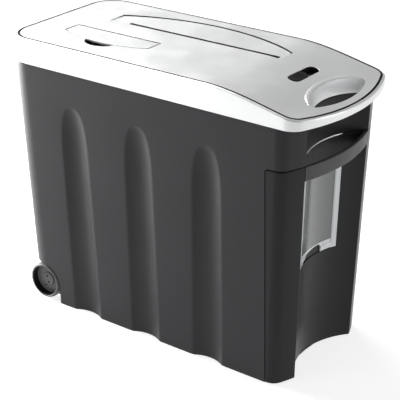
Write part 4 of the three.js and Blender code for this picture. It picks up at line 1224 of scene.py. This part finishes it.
def buildGear(node, steps, y, z, bore):
    shape = gearShape
    piece = None
    for teeth, module, x0, x1, turn in steps:
        angle = np.linspace(0, 2 * math.pi, teeth * 20, endpoint=False)
        root = teeth * module / 2 - 1.25 * module
        hub, rim = min(bore + shape["hubWall"], root - 1.2), root - shape["rimWall"]
        face = [(bore, 0), (hub - 0.2, 0)]
        if rim - hub > 4:
            deep = shape["webDepth"]
            face += [(hub, 0.3), (hub + 0.3, deep), (rim - 0.4, deep), (rim, 0.2), (rim + 0.3, 0)]
        face += [(toothRadius(angle, teeth, module, turn, shape["trim"]), 0),
                 (toothRadius(angle, teeth, module, turn), shape["chamfer"])]
        profile = [(r, x0 + up) for r, up in face] + [(r, x1 - up) for r, up in face[::-1]]
        gear = shapedTurn("gear", profile, y, z, angle, "joined")
        if rim - hub > 7:
            middle, radius = (rim + hub) / 2, (rim - hub) / 2 - 1.2
            for a in np.radians(360 / shape["spokes"] * np.arange(shape["spokes"]) + shape["spokeTurn"]):
                hole(gear, radius, "x", (0, y + middle * math.cos(a), z + middle * math.sin(a)), (x0 - 1, x1 + 1))
        piece = gear if piece is None else join(piece, gear)
    finished(piece, node, 30)


# Cutter shaft: pairs of thin discs with hooked teeth between round spacers, and ground journals
cutterShape = {"teeth": 12, "hook": 2.6, "shaft": 5, "spacer": 11.5, "disc": 17, "pitch": 24, "width": 11}


def buildCutter(node, first, count, coreStart, coreEnd):
    shape = cutterShape
    low, high = span(node)
    y, z = middleOf(node)[1:]
    angle = np.linspace(0, 2 * math.pi, 96, endpoint=False)
    disc, spacer, shaft = shape["disc"], shape["spacer"], shape["shaft"]
    blade = shape["width"] / 2 - 0.7
    ringGroove = [(shaft, 3), (shaft - 0.5, 2.6), (shaft - 0.5, 1.6), (shaft, 1.2), (shaft, 0), (spacer - 0.5, 0)]
    profile = [(shaft - 0.8, low[0]), (shaft, low[0] + 0.8), *[(r, coreStart - away) for r, away in ringGroove],
               (spacer, coreStart + 0.5)]
    for index in range(count):
        start = first + index * shape["pitch"]
        end = start + shape["width"]
        place = (angle / (2 * math.pi) * shape["teeth"] + index * 0.31) % 1
        hooked = disc - shape["hook"] * place ** 1.5
        side = [(spacer, 0), (hooked - 0.3, 0), (hooked, 0.3), (hooked, blade - 0.3), (hooked - 0.3, blade),
                (disc - 4, blade + 0.1)]
        profile += [(r, start + up) for r, up in side] + [(r, end - up) for r, up in side[::-1]]
    profile += [(spacer, coreEnd - 0.5), *[(r, coreEnd + away) for r, away in ringGroove[::-1]],
                (shaft, high[0] - 0.8), (shaft - 0.8, high[0])]
    finished(shapedTurn("cutter", profile, y, z, angle), node, 28)


# Turned rods: chamfered ends and ring grooves near them
def buildRod(node, axis, radius, grooves=(), sides=40):
    low, high = span(node)
    order = {"x": 0, "y": 1, "z": 2}[axis]
    start = middleOf(node)
    start[order] = 0
    a, b = low[order], high[order]
    ease = min(0.8, radius * 0.3)
    profile = [(radius - ease, a), (radius, a + ease)]
    for place in sorted(grooves):
        at = a + place if place > 0 else b + place
        profile += [(radius, at - 0.7), (radius * 0.86, at - 0.5), (radius * 0.86, at + 0.5), (radius, at + 0.7)]
    profile = sorted(profile + [(radius, b - ease), (radius - ease, b)], key=lambda entry: entry[1])
    finished(turned("rod", profile, axis, start, sides), node, 30)


# Bush: a sleeve with chamfered ends and a wide relief groove between its two rims
bushShape = {"clearance": 0.3, "rim": 0.75, "relief": 0.35}


def buildBush(node):
    low, high = span(node)
    y, z = middleOf(node)[1:]
    outer, bore = (high[1] - low[1]) / 2, cutterShape["shaft"] + bushShape["clearance"]
    rim, waist = bushShape["rim"], outer - bushShape["relief"]
    half = [(bore, 0.3), (bore + 0.3, 0), (outer - 0.4, 0), (outer, 0.3), (outer, rim), (waist, rim + 0.1)]
    profile = [(r, low[0] + up) for r, up in half] + [(r, high[0] - up) for r, up in half[::-1]]
    finished(turned("bush", profile, "x", (0, y, z), 48, "joined"), node, 30)


# Screw: domed head with a cross recess, and a shank with a thread of round ridges
screwShape = {
    "x": {"head": 4, "shank": 1.8, "tall": 2.2, "pitch": 0.7},
    "z": {"head": 3.6, "shank": 1.2, "tall": 2.4, "pitch": 0.9},
    "recess": (0.42, 0.62, 1.1),
}


def buildScrew(node, axis):
    shape = screwShape[axis]
    low, high = span(node)
    order = {"x": 0, "z": 2}[axis]
    start = middleOf(node)
    start[order] = 0
    a, b = low[order], high[order]
    head, shank, tall, pitch = shape["head"], shape["shank"], shape["tall"], shape["pitch"]
    profile = [(head * 0.45, a), (head * 0.75, a + 0.18), (head * 0.93, a + 0.6), (head, a + 1.2),
               (head, a + tall - 0.15), (head - 0.15, a + tall), (shank, a + tall)]
    at = a + tall + 0.6
    while at + pitch < b - 0.8:
        profile += [(shank * 0.82, at), (shank, at + pitch * 0.5)]
        at += pitch
    profile += [(shank * 0.82, b - 0.7), (shank * 0.4, b)]
    screw = turned("screw", profile, axis, start, 28)
    narrow, share, deep = screwShape["recess"]
    for wide in ((head * share, narrow), (narrow, head * share)):
        reach = np.array([-np.inf, -np.inf, -np.inf])
        reach[[part for part in range(3) if part != order]] = wide
        lower, upper = start - reach, start + reach
        lower[order], upper[order] = a - 1, a + deep
        cut(screw, block("recess", *np.column_stack([lower, upper]).ravel()))
    finished(screw, node, 35)


# Frame plate: a rounded plate on edge, with a hole for each bush and for each rod that passes through
plateShape = {"corner": 3, "bushHole": 8, "rodHole": 4.3, "motorHole": 6.4}


def buildFramePlate(node, shaftYs, others):
    low, high = span(node)
    loop = roundedBox(low[1], high[1], low[2], high[2], plateShape["corner"], 8, 6)
    plate = panel("plate", loop, low[0], high[0], 0.35)
    reach = (low[0] - 2, high[0] + 2)
    z = middleOf("paper_cutter_front")[2]
    for y in shaftYs:
        hole(plate, plateShape["bushHole"], "x", (0, y, z), reach, 40)
    for y, zHole, radius in others:
        hole(plate, radius, "x", (0, y, zHole), reach)
    finished(plate, node, 30)


# Comb that strips the cutters: a bar with rounded fingers and shallow pockets in one face
combShape = {"barTop": 285.5, "start": 92, "end": 323, "finger": 2, "pockets": 8, "pocketHalf": 8, "pocketDepth": 1.4}


def buildComb(node, firstGap):
    shape = combShape
    low, high = span(node)
    x0, x1, barTop, wide = shape["start"], shape["end"], shape["barTop"], shape["finger"]
    finger = [(wide, barTop), (wide, high[2] - 1), (wide - 0.8, high[2])]
    finger += [(-x, z) for x, z in finger[::-1]]
    stretch = [(x0, low[2]), (x1, low[2]), (x1, barTop)]
    for middle in np.arange(firstGap, x1 - 2, cutterShape["pitch"])[::-1]:
        stretch += [(middle + x, z) for x, z in finger]
    stretch += [(x0, barTop)]
    comb = plankAlongY("comb", softened(stretch, 0.5, closed=True, steps=2), low[1], high[1])
    half = shape["pocketHalf"]
    for x in np.linspace(x0 + 12, x1 - 12, shape["pockets"]):
        pocket = roundedBox(x - half, x + half, low[2] + 2, barTop - 2, 1, 9, 4)
        cut(comb, plankAlongY("lightening", pocket, low[1] - 1, low[1] + shape["pocketDepth"]))
    finished(comb, node, 30)


# Sleeve: a tube of rounded corners whose upper mouth flares
sleeveShape = {"skin": 2.2, "flare": 0.8, "corner": 2.4}


def buildSleeve(node):
    low, high = span(node)
    skin, flare = sleeveShape["skin"], sleeveShape["flare"]
    outer = roundedBox(low[0], high[0], low[1], high[1], sleeveShape["corner"], 8, 6)
    top, base = high[2], low[2]
    profile = [(skin - 0.2, base), (0.5, base), (0.1, base + 0.5), (0, base + 1.2), (0, top - 1), (0.3, top - 0.3),
               (0.7, top), (skin - flare, top), (skin - 0.25, top - 0.7), (skin, top - 2), (skin, base + 0.5)]
    finished(raised("sleeve", outer, profile, "joined"), node, 30)


tubShape = {"wall": 2.5, "rim": 3, "corner": 12, "screwHole": 2.3, "endDraft": 0.012, "sideDraft": 0.083}


# Tub: drafted walls with round corners and a rolled rim, open at the top and at the window
def buildTub():
    shape = tubShape
    low, high = span("bin_tub")
    top, bottom = high[2], low[2]
    right = high[0]
    left = low[0] + shape["rim"]
    half = high[1] - shape["rim"]
    middle = (left + right) / 2

    # One level of the wall, drawn in evenly with the depth below the rim
    def level(z, inset, corner):
        loop = roundedBox(left + inset, right - inset, -half + inset, half - inset, max(corner - inset, 0.8), 12, 9)
        depth = (top - z) / (top - bottom)
        return np.column_stack([middle + (loop[:, 0] - middle) * (1 - shape["endDraft"] * depth),
                                loop[:, 1] * (1 - shape["sideDraft"] * depth), np.full(len(loop), z)])

    corner, wall = shape["corner"], shape["wall"]
    foot = [(4.5, 0), (2.6, 0.5), (1.2, 1.4), (0.3, 2.8), (0, 4.6)]
    outer = [level(bottom + up, inset, corner) for inset, up in foot]
    outer += [level(z, 0, corner) for z in np.linspace(bottom + 20, top, 14)]
    tub = ringMesh("tub", np.stack(outer))
    rim = roundedBox(low[0], high[0], low[1], high[1], corner + 2, 12, 9)
    roll = [(1.2, top - 3), (0.4, top - 2.8), (0, top - 2.3), (0, top - 0.8), (0.4, top - 0.2), (1, top)]
    join(tub, raised("rim", rim, roll))
    inside = [(5, wall), (3, wall + 0.4), (1.2, wall + 1.4), (0.2, wall + 3), (0, wall + 5)]
    inner = [level(bottom + up, wall + inset, corner) for inset, up in inside]
    inner += [level(z, wall, corner) for z in (*np.linspace(bottom + 24, top - 1, 8), top + 6)]
    cut(tub, ringMesh("tubInside", np.stack(inner)))
    cut(tub, windowOpening(right - 12, right + 6))
    for index in (1, 2, 3, 4):
        place = middleOf(f"bin_screw_{index}")
        hole(tub, shape["screwHole"], "x", (0, place[1], place[2]), (360, 375), 20)
    finished(tub, "bin_tub", 35)


# Chassis: a plate that fills the body's top, with a well for the cutters and holes for bosses and plunger
chassisShape = {"gap": 0.6, "ease": 0.4, "well": (58, 321, -62, 57), "wellCorner": 6, "bossHole": 2.2,
                "switchHole": 2.6, "end": 371}


def buildChassis():
    shape = chassisShape
    low, high = span("head_chassis")
    inset, ease = bodyShape["wall"] + shape["gap"], shape["ease"]
    bottom, top = low[2], high[2]
    levels = [(inset + ease, bottom), (inset, bottom + ease), (inset, top - ease), (inset + ease, top)]
    plate = bodySolid("chassis", levels, grow=inset)
    cut(plate, block("binSide", shape["end"], 460, -120, 120, 250, 290))
    well = roundedBox(*shape["well"], shape["wellCorner"], 20, 8)
    cut(plate, raised("cutterWell", well, [(0, bottom - 2), (0, top + 2)]))
    places = [(x, y, shape["bossHole"]) for x, y in coverShape["bosses"]]
    places.append((*middleOf("bin_switch_plunger")[:2], shape["switchHole"]))
    for x, y, radius in places:
        hole(plate, radius, "z", (x, y, 0), (bottom - 2, top + 2), 24)
    finished(plate, "head_chassis", 35)


# Switch housing: a rounded block whose top stands on a step, the step given by its depth and its inset
def switchBlock(name, node, corner, step, turns):
    low, high = span(node)
    deep, rise = step
    loop = roundedBox(low[0], high[0], low[1], high[1], corner, turns, 5)
    ease = 0.5 if corner > 1 else 0.4
    return low, high, raised(name, loop, [(ease, low[2]), (0, low[2] + ease), (0, high[2] - deep),
                                          (0.4, high[2] - deep + rise), (0.4, high[2] - 0.5), (0.9, high[2])])


modeSwitchShape = {"corner": 1.5, "step": (3, 0.2), "track": (1.8, -12, 24), "rivet": 1.1, "rivetIn": 2.6}
binSwitchShape = {"corner": 1, "step": (5, 0.3), "stemHole": 2.6, "screwHole": 1.1, "screwOut": 5.2, "screwDown": 2.4}


def buildModeSwitch():
    shape = modeSwitchShape
    low, high, body = switchBlock("modeSwitch", "mode_switch_body", shape["corner"], shape["step"], 6)
    x = sliderShape["stem"][0]
    half, near, far = shape["track"]
    track = roundedBox(x - half, x + half, near, far, 1.2, 6, 5)
    cut(body, raised("stemTrack", track, [(0, low[2] + 6), (0, high[2] + 2)]))
    for y in (low[1] + shape["rivetIn"], high[1] - shape["rivetIn"]):
        hole(body, shape["rivet"], "z", (low[0] + 6, y, 0), (low[2] - 1, high[2] + 1), 20)
    finished(body, "mode_switch_body", 35)


def buildBinSwitch():
    shape = binSwitchShape
    low, high, body = switchBlock("binSwitch", "bin_switch_body", shape["corner"], shape["step"], 5)
    x, y = middleOf("bin_switch_plunger")[:2]
    hole(body, shape["stemHole"], "z", (x, y, 0), (low[2] - 2, 285), 24)
    for side in (-1, 1):
        place = (x + side * shape["screwOut"], 0, high[2] - shape["screwDown"])
        hole(body, shape["screwHole"], "y", place, (low[1] - 2, high[1] + 2), 18)
    finished(body, "bin_switch_body", 35)


# Motor: can with end shoulders, front boss, band groove, vents and two end screws
motorShape = {"bandStart": 300, "bandEnd": 303, "canEnd": 313.6, "vents": (6, 15.5, 2.2), "screws": (2, 14, 1.6)}


def buildMotor():
    shape = motorShape
    low, high = span("motor")
    y, z = middleOf("motor")[1:]
    radius = (high[1] - low[1]) / 2
    start, band, bandEnd, canEnd = low[0], shape["bandStart"], shape["bandEnd"], shape["canEnd"]
    profile = [(4, start), (6, start + 0.6), (6, start + 3), (14, start + 3), (21.4, start + 3.2),
               (22.6, start + 3.8), (23.5, start + 4.8), (radius, start + 6.4), (radius, band),
               (radius - 0.5, band + 0.4),
               (radius - 0.5, bandEnd - 0.4), (radius, bandEnd), (radius, canEnd), (23.4, canEnd + 2),
               (22.2, canEnd + 3.6), (20.6, canEnd + 4.4), (9, canEnd + 4.4), (8.6, canEnd + 5.6), (6, canEnd + 5.8),
               (6, high[0] - 0.5), (5.4, high[0])]
    motor = turned("motorCan", profile, "x", (0, y, z), 72)
    rows = ((shape["vents"], 0, (start + 1, start + 5), 18), (shape["screws"], 90, (canEnd + 2.4, canEnd + 6.4), 20))
    for (count, away, size), first, reach, sides in rows:
        for a in np.radians(first + 360 / count * np.arange(count)):
            hole(motor, size, "x", (0, y + away * math.cos(a), z + away * math.sin(a)), reach, sides)
    finished(motor, "motor", 30)


# Cord gland: a flanged tube, narrow inside the wall and wide on both sides of it
glandShape = {"bore": 3.6, "throat": 7.4, "neck": 8, "flange": 11}


def buildGland():
    low, high = span("cord_gland")
    y, z = middleOf("cord_gland")[1:]
    bore, throat, neck, flange = (glandShape[part] for part in ("bore", "throat", "neck", "flange"))
    near, far = low[0], high[0]
    profile = [(bore + 0.4, near), (6.6, near), (throat, near + 0.3), (throat, near + 1.2), (neck, near + 1.5),
               (neck, near + 3.9), (flange - 0.4, near + 4), (flange, near + 4.4), (flange, far - 0.4),
               (flange - 0.4, far), (bore + 0.4, far), (bore, far - 0.4), (bore, near + 0.4)]
    finished(turned("gland", profile, "x", (0, y, z), 48, "joined"), "cord_gland", 30)


# Board with a relay, a terminal block and a switch block, resistors, a capacitor and four screw holes
boardShape = {
    "thickness": 1.6, "corner": 1.2,
    "blocks": ((353, 365, 20, 36, 309), (370, 380, 24, 32, 312), (354, 378, 46, 64, 306)),
    "resistors": (356, 362, 368), "capacitor": (375, 38.4),
    "screwHoles": ((352.4, 16.4), (380.6, 16.4), (352.4, 69.6), (380.6, 69.6)),
}


def buildBoard():
    shape = boardShape
    low, high = span("control_board")
    base, top = low[2], low[2] + shape["thickness"]
    outline = roundedBox(low[0], high[0], low[1], high[1], shape["corner"], 8, 5)
    board = raised("board", outline, [(0, base), (0, top)])
    blocks = [(*sides, 0.8) for sides in shape["blocks"]]
    blocks += [(x - 1.2, x + 1.2, 39, 43.4, top + 1.6, 0.5) for x in shape["resistors"]]
    for x0, x1, y0, y1, z1, corner in blocks:
        loop = roundedBox(x0, x1, y0, y1, corner, 6, 4)
        join(board, raised("component", loop, [(0, top - 0.4), (0, z1 - 0.4), (0.4, z1)]))
    can = [(3.4, top - 0.4), (3.4, top + 6.4), (3.0, top + 6.9), (2.2, top + 6.7)]
    join(board, turned("capacitor", can, "z", (*shape["capacitor"], 0), 28))
    for x, y in shape["screwHoles"]:
        hole(board, 1.3, "z", (x, y, 0), (base - 1, top + 1), 20)
    finished(board, "control_board", 35)


# Plunger: a pin with a domed lower end and an eased upper one
def buildPlunger():
    low, high = span("bin_switch_plunger")
    x, y = middleOf("bin_switch_plunger")[:2]
    dome = [(0.8, 0), (1.5, 0.25), (1.9, 0.8), (2, 1.6)]
    profile = [(r, low[2] + up) for r, up in dome] + [(2, high[2] - 0.5), (1.5, high[2])]
    finished(turned("plunger", profile, "z", (x, y, 0), 32), "bin_switch_plunger", 35)


buildFlap()
buildSlider()
buildModeSwitch()
for node, side in (("near", -1), ("far", 1)):
    buildWheel(f"wheel_{node}", side)
    buildWheelCap(f"wheel_cap_{node}", side)
print("flap, slider and wheels built")
buildTub()
buildChassis()
buildSleeve("paper_sleeve")
buildSleeve("disc_sleeve")
print("tub, chassis and sleeves built")

rodNodes = ("tie_rod_1", "tie_rod_2", "tie_rod_3")
rodHoles = [(*middleOf(node)[1:], plateShape["rodHole"]) for node in rodNodes]
cutterNodes = ("paper_cutter_rear", "paper_cutter_front", "disc_cutter_rear", "disc_cutter_front")
shaftYs = [middleOf(node)[1] for node in cutterNodes]
shaftZ = middleOf("paper_cutter_front")[2]
stageY, motorY = middleOf("stage_stud")[1], middleOf("motor")[1]
buildFramePlate("frame_plate_left", shaftYs, rodHoles)
buildFramePlate("frame_plate_middle", shaftYs[2:], rodHoles[2:])
driveHoles = [(stageY, shaftZ, plateShape["rodHole"]), (motorY, shaftZ, plateShape["motorHole"])]
buildFramePlate("frame_plate_right", shaftYs[:2], rodHoles + driveHoles)
for node in rodNodes:
    buildRod(node, "x", 4, (4, -4))
buildRod("wheel_axle", "y", 4, (2, -2))
buildRod("stage_stud", "x", 4, (-1.4,))
buildRod("motor_shaft", "x", 2)
buildRod("flap_pin", "x", 0.7, sides=20)
buildCutter("paper_cutter_rear", 110, 9, 96, 321)
buildCutter("paper_cutter_front", 98, 9, 96, 321)
buildCutter("disc_cutter_rear", 62, 5, 56, 182)
buildCutter("disc_cutter_front", 74, 5, 56, 182)
print("plates, rods and cutters built")

for index, node in enumerate(("gear_rear", "gear_front", "gear_disc_rear", "gear_disc_front")):
    buildGear(node, [(16, 1.875, 38, 46, 0 if index % 2 else 0.5)], shaftYs[index], shaftZ, 5.3)
stageModule = 2 * (stageY - motorY) / 33
buildGear("drive_gear", [(24, 2, 331, 339, 0)], shaftYs[1], shaftZ, 5.3)
buildGear("stage_gear", [(9, 2, 331, 340.4, 0.5), (24, stageModule, 340, 345, 0)], stageY, shaftZ, 4.3)
buildGear("motor_pinion", [(9, stageModule, 340, 346, 0.5)], motorY, shaftZ, 2.3)
for node in [name for name in frame["nodes"] if name.startswith("bush_")]:
    buildBush(node)
buildComb("cutter_comb_rear", 103.5)
buildComb("cutter_comb_front", 115.5)
for index in (1, 2, 3, 4):
    buildScrew(f"bin_screw_{index}", "x")
    buildScrew(f"cover_screw_{index}", "z")
buildMotor()
buildGland()
buildBoard()
buildBinSwitch()
buildPlunger()
print("drive, switches and screws built")
